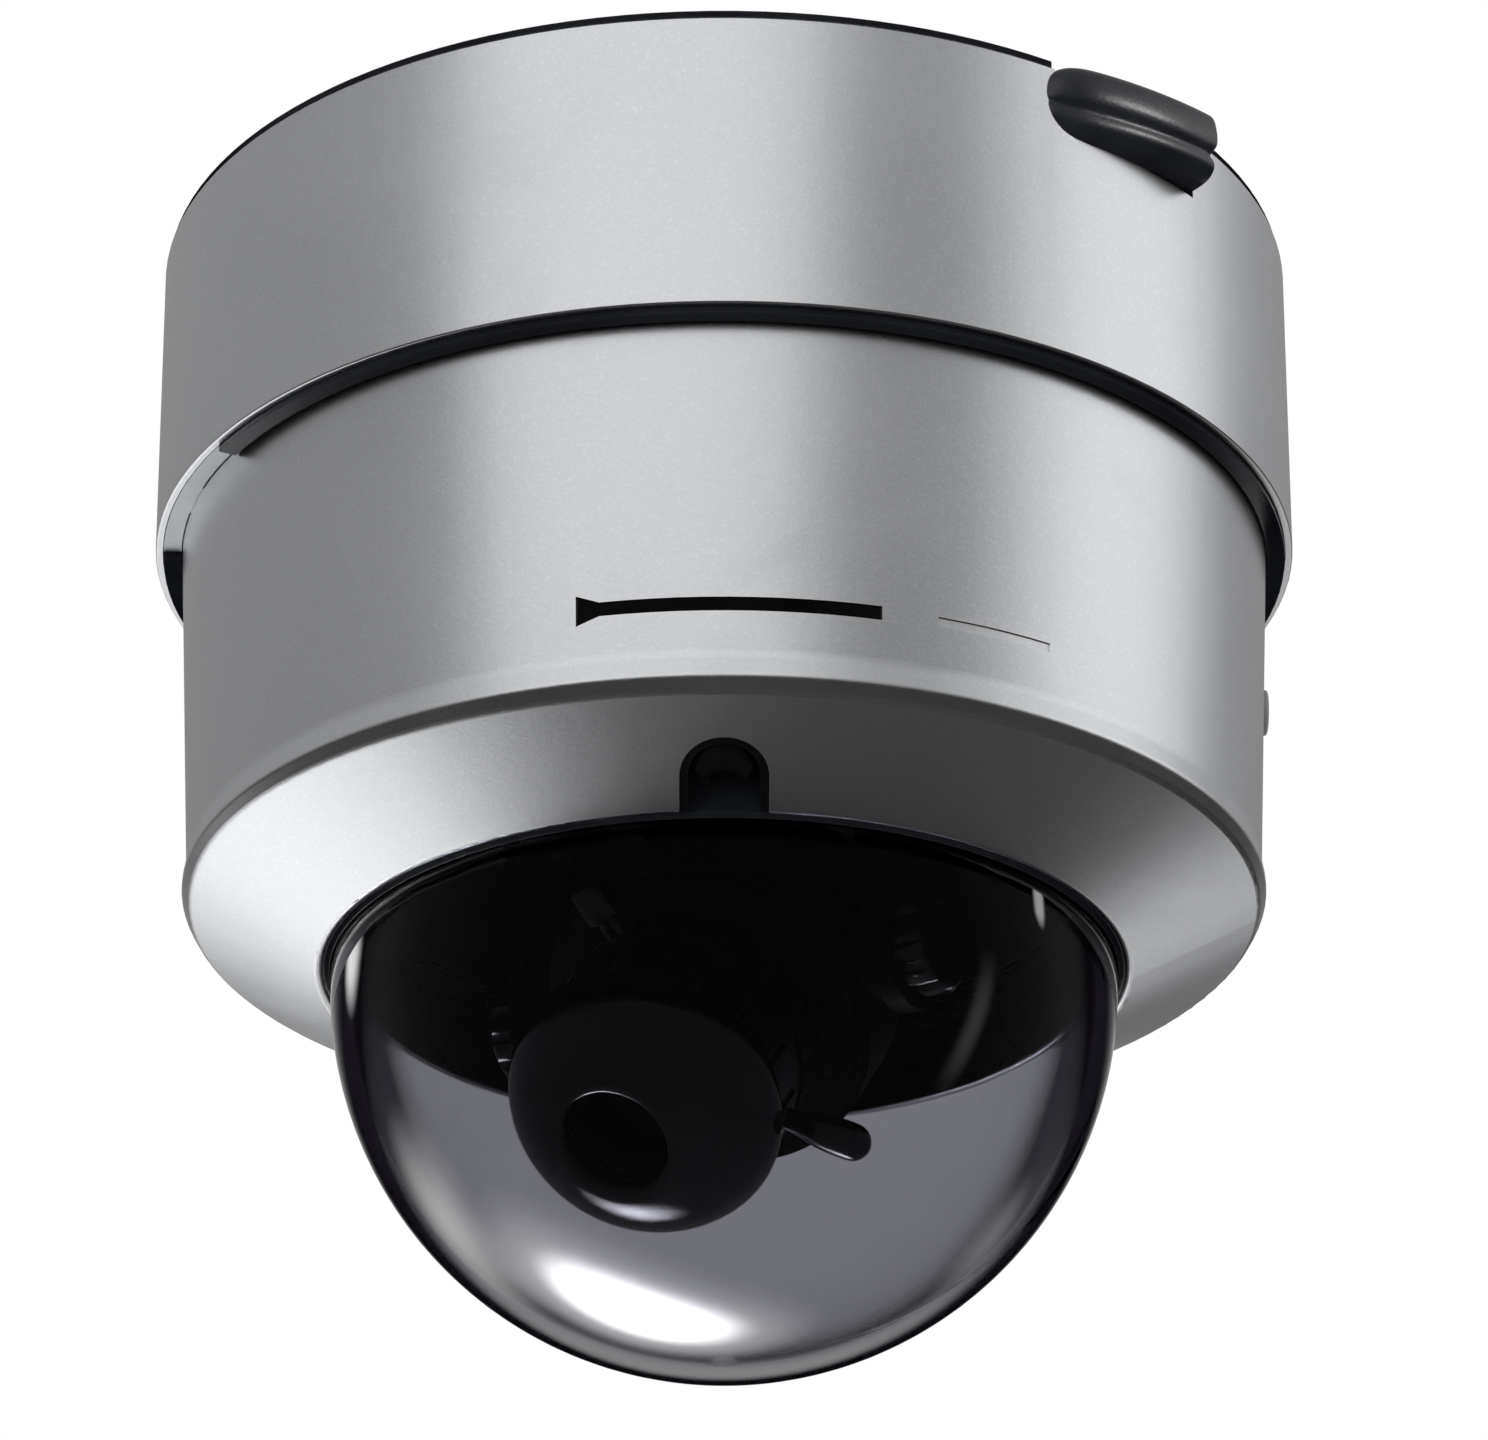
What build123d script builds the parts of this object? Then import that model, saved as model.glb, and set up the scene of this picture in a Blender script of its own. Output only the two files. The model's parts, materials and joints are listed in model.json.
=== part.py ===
from build123d import *
import os
from math import cos, radians, sin

# A surface-mounted dome camera, in millimetres. The origin is the centre of the face that lies
# against the ceiling, +Z is up, and the front of the camera looks along -Y.
# A bearing is an angle in degrees from the front towards +X, seen in plan.

# Fits and small edges
running_fit = 0.05
slip_fit = 0.15
end_play = 0.3
pilot_spare = 0.5
edge_break = 0.4
soft_edge = 0.8
cast_rounding = 2.0

# Dome
dome_radius = 55.4
dome_wall = 3.0
dome_neck = 12.5
dome_flange_reach = 4.1
dome_flange_thickness = 3.0

# Cover, from its opening outwards and from its rim upwards
opening_gap = 1.2
opening_edge = 0.8
face_width = 19.0
face_drop = 9.7
rim_setback = 1.1
rim_rounding = 1.6
bead_proud = 0.6
bead_rise = 2.0
bead_rounding = 1.2
waist_rise = 3.4
waist_rounding = 6.0
cover_height = 54.9
cover_wall = 3.5
cover_taper = 2.05
cover_overlap = 5.0
cover_inner_rounding = 4.0
ledge_rise = 0.4
ledge_slope = 2.6

# Back box
base_height = 45.5
base_wall = 3.4
base_roof = 4.0
lip_gap = 0.45
lip_edge = 1.0
lip_rebate = 1.5
lip_rounding = 0.3
rib_thickness = 2.5
rib_depth = 5.0
rib_bearings = (0, 60, 120, 180, 240, 300)
ceiling_hole_circle = 62.0
ceiling_hole_radius = 2.75
ceiling_hole_bearings = (45, 135, 225, 315)
entry_radius = 12.5
entry_boss_wall = 5.5
entry_length = 12.0

# Seals of the back box
ceiling_seal_width = 7.0
ceiling_seal_thickness = 1.0
ceiling_seal_inset = 0.4
seam_seal_thickness = 2.4

# Lugs that key the cover in the seam, their sweeps and gaps in degrees
lug_bearings = (-73.5, 150.0)
lug_sweep = 25.0
lug_gap = 0.2
lug_height = 1.45
lug_tooth_sweep = 6.0
lug_tooth_depth = 1.8
lug_tooth_gap = 0.3

# Cable boot in the rim notch
boot_length = 28.0
boot_width = 10.0
boot_height = 11.0
boot_bearing = 35.0
boot_proud = 2.0
boot_end_offset = 25.8
boot_channel_radius = 3.5
boot_channel_depth = 1.2
boot_edge_rounding = 4.0
cable_radius = 2.2
cable_outset = 1.0
cable_bore_depth = 14.0

# Main board and what is on it
board_radius = 48.0
board_thickness = 1.6
board_entry_gap = 2.0
board_flat_width = 34.0
board_flat_depth = 3.0
board_standoff_inset = 8.0
board_standoff_radius = 4.0
board_standoff_height = 11.0
board_screw_radius = 1.4
board_pilot_depth = 8.0
board_head_radius = 2.75
board_head_height = 2.0
terminal_size = (24.0, 10.0, 11.0)
terminal_inset = 15.0
terminal_count = 4
terminal_well_radius = 1.9
terminal_well_depth = 5.5
terminal_mouth_size = (3.6, 3.3, 3.6)
socket_size = (15.5, 16.0, 13.5)
socket_inset = 12.0
socket_wall = 1.5
socket_tongue_size = (8.4, 9.1, 1.5)
socket_tongue_drop = 3.2
capacitor_radius = 5.0
capacitor_height = 12.0
capacitor_insets = (15.0, 13.0, 15.0)
capacitor_pitch = 12.0
chip_sizes = ((14.0, 14.0, 1.6), (9.0, 7.0, 1.2), (7.0, 7.0, 1.2))
chip_insets = (16.0, 14.0, 14.0)
chip_offsets = (0.0, 16.0, -15.0)
inductor_size = (11.0, 11.0, 7.0)
inductor_inset = 16.0
inductor_offset = 15.0
inductor_corner = 2.0

# Chassis bowl
chassis_sheet = 3.0
chassis_boss_inset = 12.6
chassis_boss_radius = 5.0
chassis_boss_gap = 0.5
chassis_bearings = (60, 120, 240, 300)
chassis_screw_radius = 1.9
chassis_pilot_depth = 12.0
chassis_head_radius = 3.5
chassis_head_height = 2.6
bowl_gap = 1.4
bowl_draft = 7.0
bowl_depth = 26.0
bowl_floor_rounding = 2.5
cover_boss_radius = 4.0
cover_boss_length = 15.0
gusset_run = 7.2
gusset_drop = 13.0
thread_cap = 1.0

# Long tamper screws and their cups
captive_bearings = (0, 180)
captive_offset = 6.2
captive_radius = 2.0
captive_head_radius = 4.0
captive_head_height = 3.2
captive_thread = 10.0
tamper_pin_radius = 0.65
tamper_pin_sunk = 0.3
recess_radius = 6.0
recess_roof = 3.0
cup_wall = 1.0
cup_sunk = 0.2
cup_setback = 0.5

# Front slot, its strip and the short groove beside it, their ends as bearings
slot_rise = 7.2
slot_height = 2.0
slot_depth = 1.2
slot_from = -15.0
slot_to = 16.0
slot_flare_half = 2.2
slot_flare_length = 3.2
strip_sunk = 0.35
groove_from = 22.0
groove_to = 35.0
groove_height = 1.4
groove_depth = 0.2

# Breather vent
vent_bearing = 92.0
vent_drop = 21.5
vent_head_radius = 3.3
vent_head_height = 1.3
vent_stem_radius = 2.4
vent_stem_proud = 1.0
vent_seat_depth = 0.5

# What seals and clamps the dome
gasket_thickness = 1.0
gasket_lip = 0.6
gasket_fit = 0.1
gasket_rounding = 0.2
ring_thickness = 2.5
ring_setback = 1.1
ring_overhang = 0.8
ear_offset = 4.7
ear_radius = 4.0
ear_bearings = (30, 90, 150, 210, 270, 330)
ear_screw_radius = 1.4
ear_pilot_depth = 4.0
ear_head_radius = 2.75
ear_head_height = 2.0

# Liner
liner_setback = 2.3
liner_wall = 1.6
liner_foot = 1.8
liner_toe = 1.0
liner_gap = 3.5

# Pan bearing
hub_radius = 14.0
hub_bore = 6.0
thrust_width = 6.0
thrust_height = 1.7
turntable_overhang = 2.0
turntable_thickness = 4.0
turntable_notches = 20
turntable_notch_radius = 2.0
turntable_notch_offset = 1.2
stop_reach = 5.5
stop_tab_half = 0.75
stop_tab_height = 2.0
stop_post_half = 0.8
stop_post_bearing = 180
retainer_radius = 18.0
retainer_thickness = 1.6
retainer_screw_circle = 10.0
retainer_screw_radius = 1.2
retainer_pilot_depth = 5.0
retainer_head_radius = 2.3
retainer_head_height = 1.6
retainer_bearings = (0, 120, 240)

# How the head stands in the photograph, in degrees
pan_rest = -32.0
tilt_rest = 49.0

# Yoke
yoke_radius = 36.0
yoke_gap = 2.0
yoke_thickness = 2.5
arm_thickness = 3.0
arm_top_half = 12.0
arm_end_radius = 9.0
arm_window_half = 3.5
arm_window_rounding = 3.15
arm_window_top = 6.0
arm_window_bottom = 14.0
yoke_screw_circle = 26.0
yoke_screw_radius = 1.4
yoke_screw_bearings = (20, 160, 200, 340)
yoke_head_radius = 2.6
yoke_head_height = 1.8

# Cradle, knobs and trunnions
cradle_radius = 24.0
cradle_wall = 3.7
cradle_half = 6.5
trunnion_boss_radius = 6.0
trunnion_boss_length = 3.2
trunnion_radius = 3.5
knob_radius = 7.5
knob_thickness = 4.5
knob_flutes = 12
knob_flute_radius = 1.1
knob_flute_offset = 0.33
knob_dish_radius = 5.0
knob_dish_depth = 1.0

# Lens holder and sensor, along the lens axis from the tilt axis
holder_bore = 15.2
holder_flange_inset = 1.0
holder_flange = 2.2
spigot_step = 0.95
spanner_notch = 3.0
sensor_cup_inset = 0.8
sensor_cup_wall = 1.6
sensor_cup_length = 13.0
sensor_ledge = 3.2
sensor_ledge_width = 2.0
sensor_board_gap = 0.4
sensor_board_thickness = 1.2
sensor_size = (12.0, 10.0, 1.8)
sensor_frame = 1.5
sensor_window_depth = 0.45
connector_size = (10.0, 4.0, 3.0)
lead_slot_spare = 2.0

# Lens
barrel_radius = 15.0
barrel_seat_depth = 14.0
barrel_bore = 10.0
barrel_nose = 4.0
collar_radius = 17.5
collar_length = 1.7
mid_collar_length = 3.4
ring_length = 6.0
zoom_ring_radius = 18.0
focus_ring_radius = 18.3
grip_notches = 16
grip_notch_radius = 0.9
grip_notch_offset = 0.27
front_lens_radius = 13.0
front_lens_edge = 3.0
front_lens_rise = 3.5
rear_lens_radius = 11.0
rear_lens_thickness = 3.0
rear_lens_rise = 1.2
hood_root_radius = 17.2
hood_bulge_radius = 19.8
hood_bulge_rounding = 9.0
hood_front_radius = 17.8
hood_front_rounding = 2.5
hood_mouth_radius = 15.4
hood_hold = 0.5
hood_throat_length = 2.0
hood_bulge_at = 5.8
hood_shoulder_at = 11.2
hood_length = 11.8
lever_sunk = 2.4
lever_neck_radius = 1.6
lever_neck_length = 2.7
lever_head_radius = 2.7
lever_tip_rounding = 1.6
zoom_lever_head = 6.3
zoom_lever_turn = 100.0
focus_lever_head = 9.5
focus_lever_turn = -35.0

# Radii worked out from the dome outwards
dome_inner_radius = dome_radius - dome_wall
dome_flange_radius = dome_radius + dome_flange_reach
opening_radius = dome_radius + opening_gap
captive_circle = opening_radius + captive_offset
rim_radius = opening_radius + face_width
bead_radius = rim_radius + rim_setback
waist_radius = bead_radius - bead_proud
ledge_radius = waist_radius - cover_wall - ledge_slope
cover_top_radius = waist_radius + cover_taper
cover_inner_radius = cover_top_radius - cover_wall
base_inner_radius = cover_top_radius + lip_gap
base_radius = base_inner_radius + base_wall
base_wall_middle = base_inner_radius + base_wall / 2
rebate_radius = base_radius - lip_edge
seal_radius = base_radius - ceiling_seal_width
boot_face_distance = base_radius + boot_proud
entry_boss_radius = entry_radius + entry_boss_wall
board_standoff_circle = board_radius - board_standoff_inset
terminal_place = (0.0, board_radius - terminal_inset)
socket_place = (board_radius - socket_inset, 0.0)
inductor_place = (board_radius - inductor_inset, inductor_offset)
chassis_boss_circle = base_inner_radius - chassis_boss_inset
chassis_radius = chassis_boss_circle + chassis_boss_radius
ring_inner_radius = dome_inner_radius + ring_setback
ring_outer_radius = dome_flange_radius + ring_overhang
ear_circle = ring_outer_radius + ear_offset
liner_radius = ring_outer_radius - liner_setback
liner_inner_radius = liner_radius - liner_wall
bowl_mouth_radius = liner_inner_radius - bowl_gap
bowl_floor_radius = bowl_mouth_radius - bowl_draft
turntable_radius = yoke_radius + turntable_overhang
yoke_inner_radius = retainer_radius + yoke_gap
cradle_bore = cradle_radius - cradle_wall
journal_radius = cradle_bore - running_fit
spigot_radius = journal_radius - spigot_step
holder_flange_radius = cradle_radius - holder_flange_inset
sensor_cup_radius = spigot_radius - sensor_cup_inset
sensor_cup_inside = sensor_cup_radius - sensor_cup_wall
hood_throat_radius = front_lens_radius - hood_hold
lever_head_root = focus_ring_radius + lever_neck_length

# Heights worked out from the ceiling downwards
lip_bottom = -base_height
rebate_top = lip_bottom + lip_rebate
cover_top = lip_bottom + cover_overlap
rim_z = lip_bottom - cover_height
bead_z = rim_z + bead_rise
waist_z = bead_z + waist_rise
opening_z = rim_z - face_drop
ledge_z = rim_z + ledge_rise
recess_floor_z = ledge_z - recess_roof
slot_z = waist_z + slot_rise
vent_z = lip_bottom - vent_drop
cone_slope = face_drop / face_width
flange_bottom = ledge_z + gasket_thickness
flange_top = flange_bottom + dome_flange_thickness
dome_centre_z = flange_bottom - dome_neck
ring_top = flange_top + ring_thickness
board_top = -base_roof - board_standoff_height
board_bottom = board_top - board_thickness
chassis_top = cover_top + chassis_boss_gap
chassis_bottom = chassis_top - chassis_sheet
liner_top = chassis_bottom - liner_gap
bowl_bottom = chassis_bottom - bowl_depth
thrust_bottom = bowl_bottom - thrust_height
turntable_top = thrust_bottom - end_play
turntable_bottom = turntable_top - turntable_thickness
hub_bottom = turntable_bottom - end_play
retainer_bottom = hub_bottom - retainer_thickness
yoke_bottom = turntable_bottom - yoke_thickness
pivot_z = dome_centre_z

# Places along the tilt axis and along the lens axis, both from the pivot
boss_end = cradle_radius + trunnion_boss_length
arm_inside = boss_end + end_play
arm_outside = arm_inside + arm_thickness
knob_inside = arm_outside + end_play
knob_outside = knob_inside + knob_thickness
journal_half = cradle_half + end_play
holder_half = journal_half + holder_flange
barrel_rear = holder_half - barrel_seat_depth
collar_end = holder_half + collar_length
zoom_start = collar_end + end_play
zoom_end = zoom_start + ring_length
mid_start = zoom_end + end_play
mid_end = mid_start + mid_collar_length
focus_start = mid_end + end_play
focus_end = focus_start + ring_length
hood_start = focus_end + end_play
barrel_end = hood_start + barrel_nose
front_seat = barrel_end - front_lens_edge - end_play
sensor_ledge_at = -holder_half - sensor_ledge
sensor_cup_end = -holder_half - sensor_cup_length

os.makedirs("parts", exist_ok=True)


def save(node, shape):
    """Write one named piece."""
    export_step(shape, f"parts/{node}.step")


def turned(*corners):
    """Solid of revolution about Z. A corner is (radius, height) or (radius, height, rounding)."""
    points = [corner[:2] for corner in corners]
    roundings = [corner[2] if len(corner) > 2 else 0 for corner in corners]
    outline = FilletPolyline(*points, radius=roundings, close=True)
    return revolve(Plane.XZ * make_face(outline), Axis.Z)


def swept(start, sweep, *corners):
    """Part of a solid of revolution, from one bearing through a sweep in degrees."""
    face = Plane.XZ * make_face(Polyline(*corners, close=True))
    return facing(start) * revolve(face, Axis.Z, revolution_arc=sweep)


def swept_ring(start, sweep, outer, inner, low, high):
    """Stretch of a plain ring."""
    return swept(start, sweep, (inner, low), (outer, low), (outer, high), (inner, high))


def ring(outer, inner, low, high):
    """Plain ring about Z."""
    return turned((inner, low), (outer, low), (outer, high), (inner, high))


def rod(radius, low, high, x=0.0, y=0.0):
    """Round rod along Z."""
    return Pos(x, y, (low + high) / 2) * Cylinder(radius, high - low)


def spoke(radius, start, end, z=0.0):
    """Round rod along +X."""
    return Pos((start + end) / 2, 0, z) * Rot(0, 90, 0) * Cylinder(radius, end - start)


def plank(start, end, width, low, high):
    """Upright board along +X, from one radius to another."""
    return Pos((start + end) / 2, 0, (low + high) / 2) * Box(end - start, width, high - low)


def block(size, place, top):
    """Box hung under a height, centred on a place."""
    return Pos(place[0], place[1], top - size[2] / 2) * Box(*size)


def facing(bearing):
    """Turn a piece made on the +X side to a bearing."""
    return Rot(0, 0, bearing - 90)


def around(bearings, piece):
    """Copies of a piece made on the +X side, one at each bearing."""
    return [facing(bearing) * piece for bearing in bearings]


def joined(pieces):
    """One shape from a list of pieces."""
    total = pieces[0]
    for piece in pieces[1:]:
        total = total + piece
    return total


def even_bearings(count):
    """Bearings that divide a full turn."""
    return [360 / count * index for index in range(count)]


def between_bearings(count):
    """Bearings half way between the even ones."""
    return [360 / count * (index + 0.5) for index in range(count)]


def driven_screw(head_radius, head_height, shank_radius, seat, tip, x):
    """Screw driven up from below, its head under the seat and its shank up to the tip."""
    low = seat - head_height
    bevel = head_height / 3
    head = turned((0, low), (head_radius - bevel, low), (head_radius, low + bevel), (head_radius, seat),
                  (0, seat))
    socket = rod(head_radius / 2, low, low + head_height / 2)
    return Pos(x, 0, 0) * (head + rod(shank_radius, seat, tip) - socket)


def seated_screw(head_radius, head_height, shank_radius, seat, tip, x):
    """Screw driven down from above, its head on the seat and its shank down to the tip."""
    high = seat + head_height
    bevel = head_height / 3
    head = turned((0, seat), (head_radius, seat), (head_radius, high - bevel), (head_radius - bevel, high),
                  (0, high))
    socket = rod(head_radius / 2, high - head_height / 2, high)
    return Pos(x, 0, 0) * (head + rod(shank_radius, tip, seat) - socket)


def cover_radius_at(z):
    """Outside radius of the cover's tapered wall at a height."""
    return cover_top_radius - cover_taper * (lip_bottom - z) / (lip_bottom - waist_z)


# The boot is a straight bar. Its outer face stands just outside the back box, square to the boot's
# bearing, and its blunt end lies to the right of that bearing.
boot_axis_y = boot_width / 2 - boot_face_distance
boot_turn = Rot(0, 0, boot_bearing)


def boot_bar(extra):
    """Bar with a round nose and one blunt end, grown by an extra at its sides, ends and floor."""
    half = boot_width / 2 + extra
    run = boot_length - boot_width / 2 + extra
    plan = Pos(-run / 2, 0) * Rectangle(run, 2 * half) + Pos(-run, 0) * Circle(half)
    bar = extrude(plan, amount=boot_height + extra)
    lower_sides = bar.edges().group_by(Axis.Z)[0].sort_by(Axis.X)[:-1]
    bar = fillet(lower_sides, boot_edge_rounding + extra)
    return boot_turn * Pos(boot_end_offset + extra, boot_axis_y, -boot_height - extra) * bar


def along_boot(radius, end, length, y):
    """Round rod along the boot at half its height, back from an end."""
    return boot_turn * Pos(end - length / 2, y, -boot_height / 2) * Rot(0, 90, 0) * Cylinder(radius, length)


def base_housing():
    """Cast back box: roof, skirt, cable entry, bosses, ribs, mounting holes and the rim notch."""
    seat = -ceiling_seal_thickness
    shell = turned((0, 0), (seal_radius, 0), (seal_radius, seat), (base_radius - edge_break, seat),
                   (base_radius, seat - edge_break), (base_radius, lip_bottom, lip_rounding),
                   (rebate_radius, lip_bottom), (rebate_radius, rebate_top),
                   (base_inner_radius, rebate_top), (base_inner_radius, -base_roof, cast_rounding),
                   (0, -base_roof))
    shell += rod(entry_boss_radius, -entry_length, 0)
    rib = plank(entry_radius, base_wall_middle, rib_thickness, -base_roof - rib_depth, -base_roof)
    boss = rod(chassis_boss_radius, chassis_top, -base_roof, x=chassis_boss_circle)
    boss += plank(chassis_boss_circle, base_wall_middle, rib_thickness, chassis_top, -base_roof)
    standoff = rod(board_standoff_radius, board_top, -base_roof, x=board_standoff_circle)
    shell = joined([shell] + around(rib_bearings, rib) + around(chassis_bearings, boss)
                   + around(ceiling_hole_bearings, standoff))
    pilot = rod(chassis_screw_radius, chassis_top, chassis_top + chassis_pilot_depth,
                x=chassis_boss_circle)
    board_pilot = rod(board_screw_radius, board_top, board_top + board_pilot_depth,
                      x=board_standoff_circle)
    mounting = rod(ceiling_hole_radius, -base_roof, 0, x=ceiling_hole_circle)
    cuts = around(chassis_bearings, pilot) + around(ceiling_hole_bearings, mounting + board_pilot)
    cuts.append(rod(entry_radius, -entry_length, 0))
    cuts.append(boot_bar(slip_fit))
    return shell - joined(cuts)


def ceiling_gasket():
    """Thin ring in the rebate of the roof, broken where the cable boot passes."""
    whole = ring(base_radius - ceiling_seal_inset, seal_radius + slip_fit, -ceiling_seal_thickness, 0)
    return whole - boot_bar(slip_fit)


def cable_boot():
    """Rubber boot with a grip channel along its outer face and a cable bore in its blunt end."""
    channel_y = boot_channel_depth - boot_face_distance - boot_channel_radius
    channel_length = boot_length + boot_width
    channel = along_boot(boot_channel_radius, boot_end_offset + boot_width / 2, channel_length, channel_y)
    bore = along_boot(cable_radius, boot_end_offset, cable_bore_depth, boot_axis_y - cable_outset)
    return boot_bar(0) - channel - bore


def lug_sectors(extra):
    """The stretches of the seam that the lugs take, grown at each end by an angle."""
    low = lip_bottom - seam_seal_thickness
    return [swept_ring(bearing - lug_sweep / 2 - extra, lug_sweep + 2 * extra, base_radius,
                       cover_inner_radius, low, cover_top) for bearing in lug_bearings]


def seam_seal():
    """Wiper ring in the rebate of the lip, broken where the lugs sit."""
    whole = ring(rebate_radius - slip_fit, cover_top_radius + slip_fit,
                 rebate_top - seam_seal_thickness, rebate_top)
    return whole - joined(lug_sectors(lug_gap))


def locating_lugs():
    """Two bright arc-shaped lugs, each with a tooth that keys a slot in the cover."""
    inner = cover_top_radius + slip_fit
    outer = rebate_radius - slip_fit
    low = rebate_top - lug_height
    lugs = []
    for bearing in lug_bearings:
        body = swept_ring(bearing - lug_sweep / 2, lug_sweep, outer, inner, low, rebate_top)
        tooth = swept_ring(bearing - lug_tooth_sweep / 2, lug_tooth_sweep, (inner + outer) / 2,
                           inner - lug_tooth_depth, low, rebate_top)
        lugs.append(body + tooth)
    return joined(lugs)


def main_board():
    """Round board that clears the cable entry, with screw holes and a flat for wiring."""
    plate = ring(board_radius, entry_boss_radius + board_entry_gap, board_bottom, board_top)
    hole = rod(board_screw_radius + slip_fit, board_bottom, board_top, x=board_standoff_circle)
    flat = plank(-board_radius - board_flat_depth, -board_radius + board_flat_depth, board_flat_width,
                 board_bottom, board_top)
    return plate - joined(around(ceiling_hole_bearings, hole)) - flat


def board_screws():
    """Screws that hold the board to its standoffs."""
    screw = driven_screw(board_head_radius, board_head_height, board_screw_radius - running_fit,
                         board_bottom, board_top + board_pilot_depth - pilot_spare, board_standoff_circle)
    return joined(around(ceiling_hole_bearings, screw))


def terminal_block():
    """Block of screw terminals with wire mouths at its outer side and wells below."""
    body = block(terminal_size, terminal_place, board_bottom)
    pitch = terminal_size[0] / terminal_count
    low = board_bottom - terminal_size[2]
    outer_y = terminal_place[1] + terminal_size[1] / 2
    cuts = []
    for index in range(terminal_count):
        x = terminal_place[0] - terminal_size[0] / 2 + pitch * (index + 0.5)
        cuts.append(rod(terminal_well_radius, low, low + terminal_well_depth, x=x, y=terminal_place[1]))
        cuts.append(block(terminal_mouth_size, (x, outer_y), board_bottom - terminal_size[2] / 2))
    return body - joined(cuts)


def network_socket():
    """Shielded socket that opens outwards, with its row of contacts left as a tongue."""
    body = block(socket_size, socket_place, board_bottom)
    inside = (socket_size[0] - socket_wall, socket_size[1] - 2 * socket_wall,
              socket_size[2] - 2 * socket_wall)
    mouth = block(inside, (socket_place[0] + socket_wall, socket_place[1]), board_bottom - socket_wall)
    tongue = block(socket_tongue_size, (socket_place[0] - socket_wall, socket_place[1]),
                   board_bottom - socket_tongue_drop)
    return body - mouth + tongue


def capacitors():
    """Upright cans under the board."""
    low = board_bottom - capacitor_height
    can = turned((0, low), (capacitor_radius, low, soft_edge), (capacitor_radius, board_bottom),
                 (0, board_bottom))
    middle = len(capacitor_insets) // 2
    return joined([Pos(inset - board_radius, capacitor_pitch * (index - middle), 0) * can
                   for index, inset in enumerate(capacitor_insets)])


def board_chips():
    """Flat chips under the board."""
    chips = []
    for size, inset, x in zip(chip_sizes, chip_insets, chip_offsets):
        chips.append(block(size, (x, inset - board_radius), board_bottom))
    return joined(chips)


def power_inductor():
    """Square moulded coil with cut corners."""
    coil = block(inductor_size, inductor_place, board_bottom)
    return chamfer(coil.edges().filter_by(Axis.Z), inductor_corner)


def chassis():
    """Bowl with flange, pan hub, stop post and the two threaded bosses for the cover."""
    mouth_inner = bowl_mouth_radius - chassis_sheet
    floor_inner = bowl_floor_radius - chassis_sheet
    floor_top = bowl_bottom + chassis_sheet
    bowl = turned((hub_bore, bowl_bottom), (bowl_floor_radius, bowl_bottom, bowl_floor_rounding),
                  (bowl_mouth_radius, chassis_bottom, cast_rounding), (chassis_radius, chassis_bottom),
                  (chassis_radius, chassis_top), (mouth_inner, chassis_top, cast_rounding),
                  (floor_inner, floor_top, cast_rounding), (hub_bore, floor_top))
    bowl += ring(hub_radius, hub_bore, hub_bottom, bowl_bottom)
    bowl += ring(hub_radius + thrust_width, hub_bore, thrust_bottom, bowl_bottom)
    boss_low = chassis_bottom - cover_boss_length
    boss = rod(cover_boss_radius, boss_low, chassis_bottom, x=captive_circle)
    gusset = make_face(Polyline((captive_circle, chassis_bottom),
                                (captive_circle + gusset_run, chassis_bottom),
                                (captive_circle, chassis_bottom - gusset_drop), close=True))
    boss += extrude(Plane.XZ * gusset, amount=rib_thickness / 2, both=True)
    post_start = turntable_radius + end_play
    post = plank(post_start, post_start + stop_reach, 2 * stop_post_half, turntable_bottom, bowl_bottom)
    bowl = joined([bowl, facing(stop_post_bearing) * post] + around(captive_bearings, boss))
    hole = rod(chassis_screw_radius + slip_fit, chassis_bottom, chassis_top, x=chassis_boss_circle)
    thread = rod(captive_radius + running_fit, boss_low, chassis_top - thread_cap, x=captive_circle)
    pilot = rod(retainer_screw_radius, hub_bottom, hub_bottom + retainer_pilot_depth,
                x=retainer_screw_circle)
    return bowl - joined(around(chassis_bearings, hole) + around(captive_bearings, thread)
                         + around(retainer_bearings, pilot))


def chassis_screws():
    """Screws that hold the chassis to the bosses of the back box."""
    tip = chassis_top + chassis_pilot_depth - pilot_spare
    screw = driven_screw(chassis_head_radius, chassis_head_height, chassis_screw_radius - running_fit,
                         chassis_bottom, tip, chassis_boss_circle)
    return joined(around(chassis_bearings, screw))


def below_face(sunk):
    """Everything below the sloping face, raised by a small amount."""
    low = opening_z - face_drop
    outer = rim_radius + cover_wall
    inner = opening_radius - cover_wall
    beyond = cone_slope * cover_wall
    return turned((inner, low), (outer, low), (outer, rim_z + beyond + sunk),
                  (inner, opening_z - beyond + sunk))


def recess_block(radius, reach, top):
    """U-shaped block on the +X side, open towards the dome, from a height down past the face."""
    length = captive_circle - reach
    plan = Pos(captive_circle, 0) * Circle(radius)
    plan += Pos(reach + length / 2, 0) * Rectangle(length, 2 * radius)
    low = opening_z - cover_wall
    return Pos(0, 0, low) * extrude(plan, amount=top - low)


def slot_bar(extra, bottom, top):
    """The front slot as a solid between two radii, with its flared left end, drawn in by an extra."""
    half = slot_height / 2 - extra
    sweep = slot_to - slot_from - 2 * extra
    bar = swept_ring(slot_from + extra, sweep, top, bottom, slot_z - half, slot_z + half)
    flare = slot_flare_half - extra
    fishtail = make_face(Polyline((extra, slot_z - flare), (slot_flare_length, slot_z - half),
                                  (slot_flare_length, slot_z + half), (extra, slot_z + flare), close=True))
    end = Pos(bottom, 0, 0) * extrude(Plane.YZ * fishtail, amount=top - bottom)
    return bar + facing(slot_from) * end


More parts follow.
